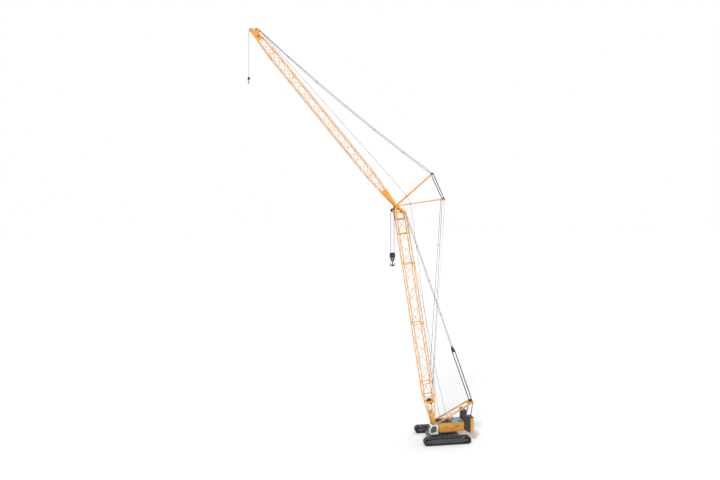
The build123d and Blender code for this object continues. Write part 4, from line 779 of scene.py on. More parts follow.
def lattice(piece, member, start, end, bays, lugs=(False, True)):
    """Chords, zigzag lacing and battens between two ends, each (t, depth, width), with lugs where wanted."""
    near, far = corners(member, *start), corners(member, *end)
    chord, lacing_radius = (boom_chord, boom_lacing) if member is boom else (jib_chord, jib_lacing)
    piece.tubes(list(zip(near, far)), chord, "orange", 14)
    lacing, battens = [], []
    inner = 0.004 / (end[0] - start[0])
    for k in range(4):
        sides = ((near[k], far[k]), (near[(k + 1) % 4], far[(k + 1) % 4]))
        spots = [sides[j % 2][0].lerp(sides[j % 2][1], j / bays) for j in range(bays + 1)]
        lacing += zip(spots, spots[1:])
        battens += [[low.lerp(high, share) for low, high in sides] for share in (inner, 1 - inner)]
    piece.tubes(lacing, lacing_radius, "orange", 8)
    piece.tubes(battens, lacing_radius * 1.1, "orange", 8)
    spots = [(p - member.along * 0.006 * sign, axes_for(member.along * sign, ACROSS), chord / boom_chord)
             for place, sign, wanted in ((start, -1, lugs[0]), (end, 1, lugs[1])) if wanted
             for p in corners(member, *place)]
    piece.copies(lug_part(), spots, "orange")


full, jib_full = (boom_depth, boom_width), (jib_depth, jib_width)
# the sections: (start, length, lacing bays)
for body, member, size, sections in (("boom", boom, full, ((0.86, 1.2, 6), (2.06, 1.2, 6), (3.26, 0.6, 3))),
                                     ("jib", jib, jib_full,
                                      ((0.80, 1.2, 8), (2.00, 1.2, 8), (3.20, 0.6, 4)))):
    for number, (t, length, bays) in enumerate(sections, 1):
        node = f"{body}_section_{number}"
        piece = Piece(node + "_tubes")
        lattice(piece, member, (t, *size), (t + length, *size), bays, (True, True))
        piece.done(body, (node,))


def foot_plates(piece, member, y, thickness, profile, boss, pin_radius):
    """The plated foot of a lattice: tapering side plates with stiffened edges and bored bosses."""
    low, high = y - thickness / 2, y + thickness / 2
    for side in SIDES:
        side_plate(piece, member, mirrored([(t, -half) for t, half in profile]), side * y, thickness,
                   "orange", 0.0015)
    piece.pair(member.point(0), boss, low - 0.0004, high + 0.0004, "orange", 28, 0.0015)
    piece.pair(member.point(0), pin_radius + 0.002, low - 0.001, high + 0.001, STEEL, 24)


# boom base: foot plates, then the tapering and the straight lattice, with the jib's winch inside
KNEE, PLATE_END, TAPER_END, BASE_END = 0.130, 0.260, 0.600, 0.860
winch_t, winch_f, winch_half_depth = 0.475, -0.014, 0.081
piece = Piece("boom_base_tubes")
foot_plates(piece, boom, 0.108, 0.020, ((0.0, 0.023), (KNEE, 0.029), (PLATE_END, 0.0555)), 0.0258, 0.0108)
lattice(piece, boom, (PLATE_END - 0.02, 0.096, boom_width), (TAPER_END, *full), 2, (False, False))
lattice(piece, boom, (TAPER_END, *full), (BASE_END, *full), 1)
for sign in SIDES:
    a, b, c, d = [boom.point(t, sign * f, y) for t, f in ((KNEE, 0.023), (PLATE_END, 0.048))
                  for y in (0.102, -0.102)]
    piece.tubes([(a, b), (c, d), (a, d), (c, b)], 0.0036, "orange", 10)
    beam = boom.point(winch_t, sign * winch_half_depth)
    piece.tubes([(beam + ACROSS * 0.108, beam - ACROSS * 0.108)], 0.0072, "orange", 14)
    hanger = [(winch_t + dt, f) for dt, f in ((-0.016, -winch_half_depth), (0.016, -winch_half_depth),
                                              (0.024, winch_f), (0.016, winch_half_depth),
                                              (-0.016, winch_half_depth), (-0.024, winch_f))]
    side_plate(piece, boom, hanger, sign * 0.067, 0.008, "orange", 0.0012)
    lug = [(0.806, -0.101), (0.824, -0.105), (0.840, -0.105), (0.846, -0.101), (0.846, -0.090),
           (0.806, -0.090)]
    side_plate(piece, boom, lug, sign * 0.11325, 0.0085, "orange")
piece.pair(boom.point(winch_t, winch_f), 0.016, 0.0712, 0.0725, "orange", 24)
piece.pair(rear_stay_foot, 0.005, 0.110, 0.128, STEEL, 16)
piece.pair(rear_stay_foot, 0.008, 0.1265, 0.1285, RAIL, 16)
piece.done("boom", ("boom_base",))

piece = Piece("boom_winch_drum")
centre = boom.point(winch_t, winch_f)
profile = [(0, -0.070), (0.008, -0.070), (0.008, -0.0625), (0.020, -0.0625), (0.022, -0.060),
           (0.0445, -0.060), (0.045, -0.0595), (0.045, -0.0585), (0.0445, -0.058), (0.030, -0.058)]
piece.turned(mirrored(profile), centre, ACROSS, BLACK, 36)
for radius in (0.0325, 0.0352):
    wound(piece, centre, -0.057, 0.057, radius, 0.0016)
piece.done("boom", ("boom_winch",), BLACK)

# boom head
HEAD_START, HEAD_PLATE, plate_y = 3.860, 4.150, 0.105
piece = Piece("boom_head_frame")
lattice(piece, boom, (HEAD_START, *full), (HEAD_PLATE, *full), 1, (True, False))
outer = [(4.138, -0.1075), (4.138, 0.1075), (4.305, 0.1175), (4.428, 0.089), (4.428, 0.039),
         (4.280, -0.1075)]
inner = [(4.166, -0.0815), (4.166, 0.0815), (4.293, 0.0855), (4.382, 0.067), (4.382, 0.043),
         (4.232, -0.0815)]
for side in SIDES:
    ring_plate(piece, boom, outer, inner, side * plate_y, 0.0118, "orange", 0.0015)
    for t, low, high in ((4.290, -0.084, 0.0915), (4.349, -0.024, 0.0915)):
        strap = [(t - 0.0088, low), (t + 0.0088, low), (t + 0.0088, high), (t - 0.0088, high)]
        side_plate(piece, boom, strap, side * plate_y, 0.0075, "orange", 0.001)
    bracket = [(4.281, 0.0955), (4.305, 0.0915), (4.365, 0.137), (4.359, 0.158), (4.341, 0.159)]
    side_plate(piece, boom, bracket, side * 0.0365, 0.0068, "orange", 0.001)
    for y in (0.0425, 0.0575):
        lug = [(4.253, -0.060), (4.273, -0.060), (4.276, -0.116), (4.254, -0.116)]
        side_plate(piece, boom, lug, side * y, 0.0048, "orange", 0.0006)
piece.pair(jib_pivot, 0.0258, 0.0992, 0.1118, "orange", 28, 0.0015)
piece.pair(jib_pivot, 0.009, 0.099, 0.1138, STEEL, 20)
piece.pair(stay_pin, 0.006, 0.0362, 0.0638, STEEL, 16)
for t, f, radius in ((4.156, 0.062, 0.0118), (4.156, -0.062, 0.0118), (4.262, -0.064, 0.009),
                     (4.293, 0.0995, 0.011)):
    piece.disc(boom.point(t, f), radius, -0.1, 0.1, "orange", 24)
head_guides = ((boom.point(4.290, -0.031), 0.0258), (boom.point(4.349, 0.021), 0.0238))
for spot, _ in head_guides:
    piece.disc(spot, 0.0048, -0.1008, 0.1008, STEEL, 16)
piece.disc(jib_pivot, 0.0088, -0.1138, 0.1138, STEEL, 24)
piece.disc(main_sheave, 0.0069, -0.0418, 0.0418, STEEL, 20)
piece.done("boom", ("boom_head",))

piece = Piece("boom_head_guide_sheaves")
for spot, radius in head_guides:
    sheaves(piece, spot, radius, (-0.0065, 0.0065), 0.0045)
piece.done("boom", ("boom_head_guides",), "sheave")

# jib base
JIB_PLATE_END, JIB_BASE_END = 0.390, 0.800


def jib_half(t):
    """Half the depth of the jib's tapering base."""
    return 0.024 + 0.051 * t / JIB_BASE_END


piece = Piece("jib_base_tubes")
foot_plates(piece, jib, 0.087, 0.0158, ((0.0, 0.018), (JIB_PLATE_END, jib_half(JIB_PLATE_END) + jib_chord)),
            0.0218, 0.0088)
lattice(piece, jib, (JIB_PLATE_END - 0.015, 2 * jib_half(JIB_PLATE_END) - 0.004, jib_width),
        (JIB_BASE_END - 0.006, *jib_full), 3)
stations = (0.12, 0.21, 0.30, JIB_PLATE_END)
for face in SIDES:
    ends = [[jib.point(t, face * (jib_half(t) - 0.004), y) for y in (0.083, -0.083)] for t in stations]
    paths = [(ends[k][1 - k % 2], ends[k + 1][k % 2]) for k in range(3)] + [ends[0], ends[-1]]
    piece.tubes(paths, 0.0030, "orange", 10)
piece.done("jib", ("jib_base",))

# jib head
piece = Piece("jib_head_frame")
head_s, half = 4.160, jib_depth * 0.72 / 2 + jib_chord
lattice(piece, jib, (3.806, *jib_full), (head_s, jib_depth * 0.72, jib_width * 0.5), 3, (True, False))
outline = [(head_s - 0.02, -half), (head_s - 0.02, half), (4.306, half), (4.392, 0.043), (4.396, 0.017),
           (4.334, -0.036), (4.328, -0.070), (4.296, -0.106), (4.276, -0.106), (4.242, -half)]
for side in SIDES:
    side_plate(piece, jib, outline, side * 0.016, 0.0078, "orange", 0.001)
    near = jib.point(head_s, side * jib_depth * 0.36, jib_width * 0.25)
    piece.tubes([(near, vec(near.x, -near.y, near.z))], jib_chord, "orange", 12)
piece.pair(jib.point(4.208, -0.004), 0.020, 0.0198, 0.0206, SLATE, 28)
for spot, boss, radius, reach, sides in ((jib_sheave, 0.013, 0.0069, 0.0238, 18),
                                         (jib_guide, 0.011, 0.0048, 0.0238, 16),
                                         (jib_stay_head, 0.009, 0.0048, 0.0288, 16)):
    piece.pair(spot, boss, 0.0195, 0.0228, "orange", 20)
    piece.disc(spot, radius, -reach, reach, STEEL, sides)
for t, f in ((4.200, half - 0.014), (4.220, -half + 0.016)):
    piece.disc(jib.point(t, f), 0.0069, -0.0138, 0.0138, "orange", 16)
piece.done("jib", ("jib_head",))
piece = Piece("jib_head_guide_sheave")
sheaves(piece, jib_guide, 0.0358, (0.0,), 0.0048)
piece.done("jib", ("jib_head_guide",), "sheave")
piece = Piece("jib_head_sheave_wheel")
sheaves(piece, jib_sheave, 0.0418, (0.0,), 0.0056, "pale_sheave", 48, 0.0052)
piece.done("jib_head_sheave", ("jib_head_sheave",), "sheave")


# ---- jib struts ---------------------------------------------------------------------------
STRUT_KNEE, STRUT_STRAIGHT = 0.2, 0.89  # the legs spread between these


def strut(name, member, root_y, tip_y, pin_reach):
    """A two-legged strut: box legs with capped edges, rungs with gusset rings, and bored ends."""
    piece = Piece(name)
    wide = 0.0055

    def spread(t):
        share = (t - STRUT_KNEE) / (STRUT_STRAIGHT - STRUT_KNEE)
        return root_y + (tip_y - root_y) * max(0.0, min(1.0, share))

    stations = (0.0, STRUT_KNEE, STRUT_STRAIGHT, strut_length)
    for side in SIDES:
        low, high = [[(t, side * spread(t) + edge) for t in stations] for edge in (-wide, wide)]
        piece.plate(low + high[::-1], member.point(0), member.along, ACROSS, 0.0168, "orange", 0.0014)
    for t, radius in ((0.0, 0.0178), (strut_length, 0.0138)):
        piece.pair(member.point(t), radius, spread(t) - wide, spread(t) + wide, "orange", 24, 0.001)
    rungs = (STRUT_KNEE, 0.38, 0.56, 0.74, STRUT_STRAIGHT)
    for t in rungs:
        piece.disc(member.point(t), 0.0044, -spread(t), spread(t), "orange", 14)
        piece.pair(member.point(t), 0.0072, spread(t) - wide, spread(t) - wide - 0.003, "orange", 14)
    piece.tubes([(member.point(t0, 0, sign * (spread(t0) - 0.004)),
                  member.point(t1, 0, -sign * (spread(t1) - 0.004)))
                 for t0, t1, sign in zip(rungs[1:], rungs[2:], (1, -1, 1))], 0.0026, "orange", 8)
    piece.disc(member.point(strut_length), 0.0059, -pin_reach, pin_reach, STEEL, 18)
    return piece


# two rollers guide the jib hoist rope
rear_roller, front_roller = rear_strut.point(0.293), front_strut.point(0.284)
piece = strut("rear_strut_frame", rear_strut, 0.070, 0.096, 0.1018)
piece.disc(rear_roller, 0.0048, -0.070, 0.070, STEEL, 14)
sheaves(piece, rear_roller, 0.0158, (-0.015, 0.015), 0.011, "sheave", 24, 0.003)
piece.disc(rear_stay_head, 0.0049, -0.096, 0.096, STEEL, 16)
piece.done("boom", ("rear_strut",))
piece = strut("front_strut_frame", front_strut, 0.0555, 0.0555, 0.0720)
piece.disc(front_roller, 0.0048, -0.0555, 0.0555, STEEL, 14)
sheaves(piece, front_roller, 0.0158, (-0.006,), 0.013, "sheave", 24, 0.003)
piece.done("jib", ("front_strut",))

# ---- stays --------------------------------------------------------------------------------
stay_line, stay_length = line_between(frame_head, stay_pin)
link_t = 1.160
piece = Piece("boom_stay_pendants")
for y in (0.050, -0.050):
    pendants(piece, spots_between(stay_line.point(link_t, 0, y), stay_line.point(stay_length, 0, y), 4),
             0.0040)
piece.done("boom_stays", ("boom_stays",), "stay_grey")

piece = Piece("rear_stay_pendants")
for side in SIDES:
    pendants(piece, spots_between(rear_stay_foot + ACROSS * side * 0.122,
                                  rear_stay_head + ACROSS * side * 0.048, 4), 0.0040)
piece.done("boom", ("rear_stays",), "stay_grey")

piece = Piece("jib_stay_pendants")
jib_stay_line, jib_stay_length = line_between(front_tip, jib_stay_head)
for side in SIDES:
    # they sag a little and draw together over the last third
    pendants(piece, [jib_stay_line.point(jib_stay_length * share, 4 * 0.065 * share * (1 - share),
                                         side * (0.066 - 0.042 * max(0.0, share - 0.7) / 0.3))
                     for share in (k / 6 for k in range(7))], 0.0044)
piece.done("jib", ("jib_stays",), "stay_grey")

# ---- undercarriage ------------------------------------------------------------------------
end_radius, axle_spacing, gauge_half = 0.0725, 0.795, 0.360
shoe_count, shoe_width = 72, 0.120
straight, bend = axle_spacing, math.pi * end_radius
shoe_pitch = 2 * (straight + bend) / shoe_count
axles = ((SIDES[0], straight / 2), (SIDES[1], -straight / 2))


def loop_place(distance):
    """The middle of the track's outer face that far round the loop, and the direction outward."""
    distance = (distance + straight / 2) % (2 * (straight + bend))
    if distance < straight:
        return (distance - straight / 2, 0.0), -math.pi / 2
    if straight + bend <= distance < 2 * straight + bend:
        return (1.5 * straight + bend - distance, 2 * end_radius), math.pi / 2
    sign = 1 if distance < straight + bend else -1
    turn = (distance - (straight if sign > 0 else 2 * straight + bend)) / end_radius - sign * math.pi / 2
    return (sign * straight / 2 + end_radius * math.cos(turn),
            end_radius + end_radius * math.sin(turn)), turn


def shoe_part():
    """One flat shoe: a ribbed pad, and the link lugs behind it."""
    part = Piece("shoe")
    half = (shoe_pitch - 0.0032) / 2
    part.box((-half, -shoe_width / 2, -0.0085), (half, shoe_width / 2, -0.0030), TRACK, 0.0009, 1)
    for low, high in ((-0.058, -0.020), (-0.016, 0.016), (0.020, 0.058)):
        part.box((-half + 0.002, low, -0.0036), (half - 0.002, high, -0.0005), TRACK, 0.0012, 1)
    for side in SIDES:
        part.box((-half - 0.0012, side * 0.0135, -0.0150), (half + 0.0012, side * 0.0225, -0.0080), TRACK,
                 0.001, 1)
        part.turned(mirrored([(0, -0.006), (0.0030, -0.006)]), (half, side * 0.018, -0.0118), ACROSS, TRACK,
                    8)
        part.box((-half + 0.004, side * 0.042, -0.0110), (half - 0.004, side * 0.048, -0.0080), TRACK,
                 0.0008, 1)
    return part


piece = Piece("track_chains")
places = []
for k in range(shoe_count):
    (x, z), turn = loop_place((k + 0.5) * shoe_pitch)
    out = vec(math.cos(turn), 0, math.sin(turn))
    places += [(vec(x, side * gauge_half, z), Matrix((ACROSS.cross(out), ACROSS, out)).transposed(), 1.0)
               for side in SIDES]
piece.copies(shoe_part(), places, TRACK)
piece.done("undercarriage", ("tracks",), TRACK)

piece = Piece("track_frame_beams")
half_box = 0.3334  # the side beam ends clear of the end wheels
covers = ((-0.215, -0.165), (0.165, 0.215), (-0.045, 0.045))
for track in SIDES:
    y = track * gauge_half
    beam = [(inset - half_box, z) for inset, z in ((0.040, 0.114), (0, 0.098), (0, 0.058), (0.024, 0.046))]
    piece.standing(even(beam), y, 0.0755, SLATE, 0.003)
    for side in SIDES:
        face = y + side * 0.034
        for sign, x in axles:
            fork = [(sign * (half_box - 0.05), 0.0505), (x, 0.0505), (x + sign * 0.016, 0.0585),
                    (x + sign * 0.0218, 0.0725), (x + sign * 0.016, 0.0865), (x, 0.0945),
                    (sign * (half_box - 0.05), 0.0945)]
            piece.standing(fork, face, 0.0078, SLATE, 0.0015)
            piece.disc((x, 0, end_radius), 0.0135, y + side * 0.0375, y + side * 0.0425, SLATE, 24)
            piece.disc((x, 0, end_radius), 0.0085, y + side * 0.042, y + side * 0.0445, STEEL, 18)
        piece.standing(even([(0.030 - half_box, 0.052), (0.035 - half_box, 0.030)]), face, 0.0078, SLATE,
                       0.0012)
    # caps of the roller shafts, ribs and bolted covers on the outer side
    face = y + track * 0.0385
    for k in range(9):
        x = (k - 4) * 0.076
        piece.disc((x, 0, 0.0298), 0.0062, y + track * 0.0365, y + track * 0.0410, STEEL, 12)
        if k % 2:
            piece.box((x - 0.003, face, 0.052), (x + 0.003, face + track * 0.003, 0.108), SLATE, 0.0008, 1)
    for low, high in covers:
        piece.box((low, face, 0.066), (high, face + track * 0.002, 0.096), SLATE, 0.0012, 1)
        piece.copies(bolt_part(), [(vec(x, face + track * 0.002, z), ACROSS * track, 0.55)
                                   for x in (low + 0.005, high - 0.005) for z in (0.071, 0.091)], RAIL)
    for x in (-0.11, 0.11):
        piece.box((x - 0.050, y - track * 0.036, 0.056), (x + 0.050, y - track * 0.050, 0.112), SLATE,
                  0.003)
piece.done("undercarriage", ("track_frames",), SLATE)

piece = Piece("track_running_gear")
idler = mirrored([(0, -0.029), (0.019, -0.029), (0.020, -0.012), (0.030, -0.010), (0.044, -0.016),
                  (0.046, -0.022), (0.054, -0.022), (0.0555, -0.020), (0.0555, -0.007), (0.0515, -0.006)])
sprocket = mirrored([(0, -0.029), (0.020, -0.029), (0.021, -0.013), (0.034, -0.010), (0.0465, -0.012),
                     (0.0475, -0.014)])
tooth = Piece("tooth")
tooth.plate(mirrored([(0.045, -0.0055), (0.0520, -0.0040), (0.0553, -0.0018)]), (0, 0, 0), (1, 0, 0),
            ACROSS, 0.024, TRACK, 0.0006)
roller = Piece("roller")
roller.turned(mirrored([(0, -0.029), (0.0055, -0.029), (0.0055, -0.027), (0.0126, -0.0265),
                        (0.0130, -0.0255), (0.0130, -0.021), (0.0108, -0.0195), (0.0108, -0.008),
                        (0.0122, -0.007)]), (0, 0, 0), UP, TRACK, 24)
for y in (gauge_half, -gauge_half):
    piece.turned(idler, (straight / 2, y, end_radius), ACROSS, TRACK, 40)
    drive = vec(-straight / 2, y, end_radius)
    piece.turned(sprocket, drive, ACROSS, TRACK, 40)
    outs = [vec(math.cos(a), 0, math.sin(a)) for a in around(26, 0.5)]
    piece.copies(tooth, [(drive, Matrix((out, ACROSS.cross(out), ACROSS)).transposed(), 1.0)
                         for out in outs], TRACK)
    piece.copies(roller, [(vec((k - 4) * 0.076, y, 0.0294), ACROSS, 1.0) for k in range(9)], TRACK)
    for x in (-0.150, 0.150):
        piece.disc((x, 0, 0.1226), 0.0059, y - 0.0218, y + 0.0218, TRACK, 20)
        for side in SIDES:
            piece.box((x - 0.008, y + side * 0.0235, 0.108), (x + 0.008, y + side * 0.034, 0.1275), SLATE,
                      0.001, 1)
piece.done("undercarriage", ("track_wheels",), TRACK)

piece = Piece("centre_frame")
softened(piece, "carbody", SLATE, 0.003)
for x in (-0.110, 0.110):
    piece.pair((x, 0, 0.086), 0.019, 0.312, 0.3215, SLATE, 24)
    for side in SIDES:
        for rib in (x - 0.034, x + 0.034):
            piece.box((rib - 0.003, side * 0.160, 0.0555), (rib + 0.003, side * 0.310, 0.0605), SLATE,
                      0.0008, 1)
for side in SIDES:
    for z in (0.062, 0.084, 0.106):
        piece.box((-0.020, side * 0.157, z), (0.020, side * 0.213, z + 0.0025), "grating", 0.0006, 1)
piece.copies(bolt_part(), [(vec(0.147 * math.cos(a), 0.147 * math.sin(a), 0.147), UP, 0.8)
                           for a in around(36)], RAIL)
piece.done("undercarriage", ("carbody",), SLATE)

piece = Piece("centre_ballast")
softened(piece, "carbody_ballast", "ballast", 0.002)
for end in SIDES:
    x = end * 0.235
    for y in (-0.095, 0.095):
        piece.box((x - 0.011, y - 0.003, 0.098), (x + 0.011, y + 0.003, 0.114), SLATE, 0.001, 1)
        piece.disc((x, 0, 0.1085), 0.0048, y - 0.0042, y + 0.0042, RAIL, 14)
        piece.box((end * 0.3062, y - 0.018, 0.052), (end * 0.301, y + 0.018, 0.088), SLATE, 0.0008, 1)
    for z in (0.0585, 0.0785):
        piece.box((x, -0.1445, z - 0.0006), (end * 0.3052, 0.1445, z + 0.0006), SLATE, 0.0001, 1)
piece.done("undercarriage", ("carbody_ballast",), "roof_grey")

piece = Piece("slewing_ring", (0, 0, 0.1535))
ring = mirrored([(0.110, -0.0055), (0.1375, -0.0055)])
piece.turned(ring + ring[:1], (0, 0, 0), UP, STEEL, 96)
gear = Piece("gear_tooth")
gear.plate(mirrored([(0.1365, -0.0031), (0.1418, -0.0016)]), (0, 0, 0), (1, 0, 0), ACROSS, 0.0105, STEEL,
           0.0003)
piece.copies(gear, [(vec(0, 0, 0), Matrix.Rotation(a, 3, "Z"), 1.0) for a in around(96)], STEEL)
piece.done("undercarriage", ("slew_ring",), STEEL)

# ---- superstructure -----------------------------------------------------------------------
deck_top, rail_top, house_top, house_half = 0.184, 0.240, 0.332, 0.165
house_front, house_split, house_rear = 0.112, -0.188, -0.412
panel = (house_front - house_split) / 3


def slats(piece, low, high, count, pitch, bevel=0.0004):
    """Louvre slats one above another; the corners are those of the lowest."""
    for step in (vec(0, 0, k * pitch) for k in range(count)):
        piece.box(vec(*low) + step, vec(*high) + step, SLATE, bevel, 1)


def handrail(piece, x_low, x_high, y, low, high, posts):
    """A rail with rounded corners on two ends and posts between them."""
    piece.tubes([[(x_low, y, low), (x_low, y, high), (x_high, y, high), (x_high, y, low)]], 0.0016, RAIL, 8,
                0.006)
    piece.tubes([[(x, y, low), (x, y, high)] for x in posts], 0.0014, RAIL, 8)


piece = Piece("slewing_platform")
softened(piece, "main_frame", "orange", 0.0012)
for x, z, radius in ((foot_x, foot_z, 0.016), (0.110, 0.330, 0.012), (-0.517, 0.210, 0.012)):
    piece.pair((x, 0, z), radius, 0.0805, 0.0822, STEEL, 24)
piece.pair((foot_x, 0, foot_z), 0.0130, 0.1295, 0.1345, RAIL, 6)
for side in SIDES:
    for x in (k * 0.085 - 0.36 for k in range(6)):
        piece.box((x - 0.003, side * 0.0945, deck_top), (x + 0.003, side * 0.0967, rail_top - 0.006),
                  "orange", 0.0006, 1)
for x in (-0.05, 0.02, 0.09):
    piece.box((x - 0.005, -0.079, deck_top), (x + 0.005, 0.079, deck_top + 0.0035), "orange", 0.0008, 1)
# hydraulic lines along the deck, between the girders
piece.tubes([[(-0.36, y, deck_top + 0.006), (-0.19, y, deck_top + 0.006), (0.11, y, deck_top + 0.008),
              (0.15, y * 0.6, deck_top + 0.018)] for y in (k * 0.009 - 0.050 for k in range(5))], 0.0026,
            "rubber", 8, 0.02)
piece.done("superstructure", ("main_frame",), "orange")

piece = Piece("hoist_winches")
for x, z, radius, layers in ((0.034, 0.290, 0.0615, 2), (-0.100, 0.290, 0.0615, 2),
                             (-0.476, 0.246, 0.0475, 1)):
    centre, core = vec(x, 0, z), radius * 0.70
    drum = mirrored([(0, -0.0678), (radius * 0.52, -0.0678), (radius * 0.55, -0.066),
                     (radius - 0.001, -0.066), (radius, -0.065), (radius, -0.063), (radius - 0.001, -0.062),
                     (core, -0.062)])
    piece.turned(drum, centre, ACROSS, BLACK, 48)
    for reach, end in ((0.0018, 0.061), (0.0050, 0.040))[:layers]:
        wound(piece, centre, -0.061, end, core + reach, 0.0017)
    piece.pair(centre, radius * 0.36, 0.0682, 0.0785, BLACK, 28)
    for side in SIDES:
        stand = [(x - 0.026, deck_top), (x + 0.026, deck_top), (x + 0.014, z + 0.012),
                 (x - 0.014, z + 0.012)]
        piece.standing(stand, side * 0.072, 0.0078, "orange", 0.0012)
        piece.copies(bolt_part(), [(orbit(centre, radius * 0.29, a, side * 0.0785), ACROSS * side, 0.42)
                                   for a in around(8)], RAIL)
piece.done("superstructure", ("winches",), BLACK)


def latch(piece, x, y, z, side):
    """A flush paddle latch on a side panel."""
    piece.box((x - 0.006, y, z - 0.004), (x + 0.006, y + side * 0.0012, z + 0.004), "rubber", 0.0006, 1)
    piece.box((x - 0.003, y, z - 0.002), (x + 0.003, y + side * 0.0020, z + 0.002), RAIL, 0.0004, 1)


piece = Piece("side_housings")
softened(piece, "side_houses", "orange", 0.0014)
start, end, top = house_split + 0.001, house_front - 0.002, house_top + 0.0012
for side in SIDES:
    y = side * house_half
    for x in (house_split + (k + 0.5) * panel for k in range(3)):
        latch(piece, x + panel * 0.36, side * (house_half - 0.0012), 0.262, side)
        for z in (0.214, 0.290):
            piece.disc((x - panel * 0.43, 0, z), 0.0016, y - side * 0.0014, y + side * 0.0002, RAIL, 10)
    slats(piece, (house_split + panel * 1.18, y - side * 0.0015, 0.2433),
          (house_split + panel * 1.82, y, 0.2455), 9, 0.0052)
    # light edge strip and grab rail along the top
    piece.box((start, side * 0.119, house_top - 0.0008), (end, side * 0.1652, top), "roof_grey", 0.0004, 1)
    piece.box((start, side * 0.1640, house_top - 0.0060), (end, side * 0.1656, top), "roof_grey", 0.0003, 1)
    handrail(piece, house_split + 0.02, house_front - 0.02, side * 0.150, house_top - 0.002,
             house_top + 0.022, (-0.09, 0.01))
piece.done("superstructure", ("side_houses",), "orange")

piece = Piece("engine_housing")
softened(piece, "engine_room", "orange", 0.0012)
slats(piece, (house_rear - 0.0012, -0.078, 0.196), (house_rear + 0.001, 0.078, 0.1992), 13, 0.0082)
for side in SIDES:
    y = side * 0.080
    piece.box((house_rear - 0.0016, y - 0.0025, 0.192), (house_rear + 0.001, y + 0.0025, 0.304), "orange",
              0.0005, 1)
    y = side * 0.148
    piece.box((house_rear - 0.0030, y - 0.010, 0.212), (house_rear + 0.001, y + 0.010, 0.226), "rubber",
              0.001, 1)
    for near, far, finish in ((-0.008, -0.0005, "lamp_red"), (0.0005, 0.008, "lamp_amber")):
        piece.box((house_rear - 0.0042, y + near, 0.214), (house_rear - 0.002, y + far, 0.224), finish,
                  0.0008, 1)
piece.done("superstructure", ("engine_room",), "orange")

for label, side in (("left", 1), ("right", -1)):
    piece = Piece(label + "_door_panel")
    softened(piece, label + "_engine_door", "orange", 0.0, merge=False)
    latch(piece, house_split - 0.034, side * house_half, 0.254, side)
    piece.done(label + "_engine_door", (label + "_engine_door",), "orange")

piece = Piece("engine_roof_panels", (0, 0, house_top))
crown = [(-house_half, 0), (house_half, 0), (house_half, 0.006)]
crown += [(house_half * share, 0.007 + 0.0045 * (1 - share ** 2))
          for share in (1 - k / 4 for k in range(9))]
piece.plate(crown + [(-house_half, 0.006)], ((house_split + house_rear) / 2, 0, 0), ACROSS, UP,
            house_split - house_rear - 0.001, "roof_grey", 0.0012)
for x in (-0.245, -0.300, -0.355):
    piece.box((x - 0.0012, -0.160, 0.0075), (x + 0.0012, 0.160, 0.0112), SLATE, 0.0004, 1)
fan = (-0.352, 0.070, 0.0085)
piece.turned([(0, 0), (0.046, 0), (0.046, 0.0015), (0.043, 0.0035), (0, 0.0035)], fan, UP, SLATE, 32)
for radius in (0.0055 * k + 0.003 for k in range(7)):
    wire = [(radius, 0.0030), (radius + 0.0016, 0.0030), (radius + 0.0016, 0.0048), (radius, 0.0048),
            (radius, 0.0030)]
    piece.turned(wire, fan, UP, "grating", 32)
for x in (-0.205, -0.395):
    for y in (-0.120, 0.120):
        eye = [(x + dx, y, z) for dx, z in ((-0.006, 0.008), (-0.006, 0.019), (0.006, 0.019),
                                            (0.006, 0.008))]
        piece.tubes([eye], 0.0014, RAIL, 8, 0.004)
for side in SIDES:
    handrail(piece, house_split - 0.010, house_rear + 0.010, side * 0.158, 0.004, 0.032, (-0.265, -0.335))
piece.done("superstructure", ("engine_roof",), "roof_grey")

piece = Piece("exhaust_stack", (-0.232, -0.060, house_top))
stack = [(0.0155, 0.009), (0.016, 0.011), (0.016, 0.037), (0.0145, 0.0388), (0.008, 0.039), (0.0078, 0.060),
         (0.0062, 0.0615), (0.0060, 0.050), (0, 0.050)]
piece.turned(stack, (0, 0, 0), UP, STEEL, 28)
for z in (0.018, 0.030):
    piece.turned([(0.0160, z), (0.0166, z), (0.0166, z + 0.002), (0.0160, z + 0.002)], (0, 0, 0), UP, STEEL,
                 28)
piece.done("superstructure", ("exhaust",), STEEL)

piece = Piece("engine_unit", (-0.300, 0, rail_top + 0.0055))
piece.box((-0.050, -0.060, 0), (0.050, 0.060, 0.044), SLATE, 0.003)
for y in (-0.045, -0.015, 0.015, 0.045):
    piece.box((-0.022, y - 0.012, 0.042), (0.022, y + 0.012, 0.056), "roof_grey", 0.003)
    piece.tubes([[(-0.022, y, 0.048), (-0.038, y, 0.052), (-0.038, 0.066, 0.056)]], 0.0042, STEEL, 10,
                0.008)
piece.turned([(0, 0), (0.038, 0), (0.038, 0.010), (0.030, 0.014), (0, 0.014)], (0, 0.062, 0.038), ACROSS,
             "rubber", 28)
piece.box((-0.045, -0.094, 0.002), (0.045, -0.066, 0.066), "roof_grey", 0.002)
slats(piece, (-0.043, -0.0952, 0.006), (0.043, -0.0935, 0.0076), 10, 0.0058, 0.0003)
piece.turned([(0, 0), (0.010, 0), (0.010, 0.05), (0.008, 0.052), (0, 0.052)], (0.038, 0.020, 0.012), ACROSS,
             "orange", 20)
piece.done("superstructure", ("engine_block",), SLATE)

# ---- cab ----------------------------------------------------------------------------------
# its shapes are set out from the middle of its rear bottom edge
CAB = (0.150, 0.198, 0.158)
cab_half, cab_height = 0.060, 0.186


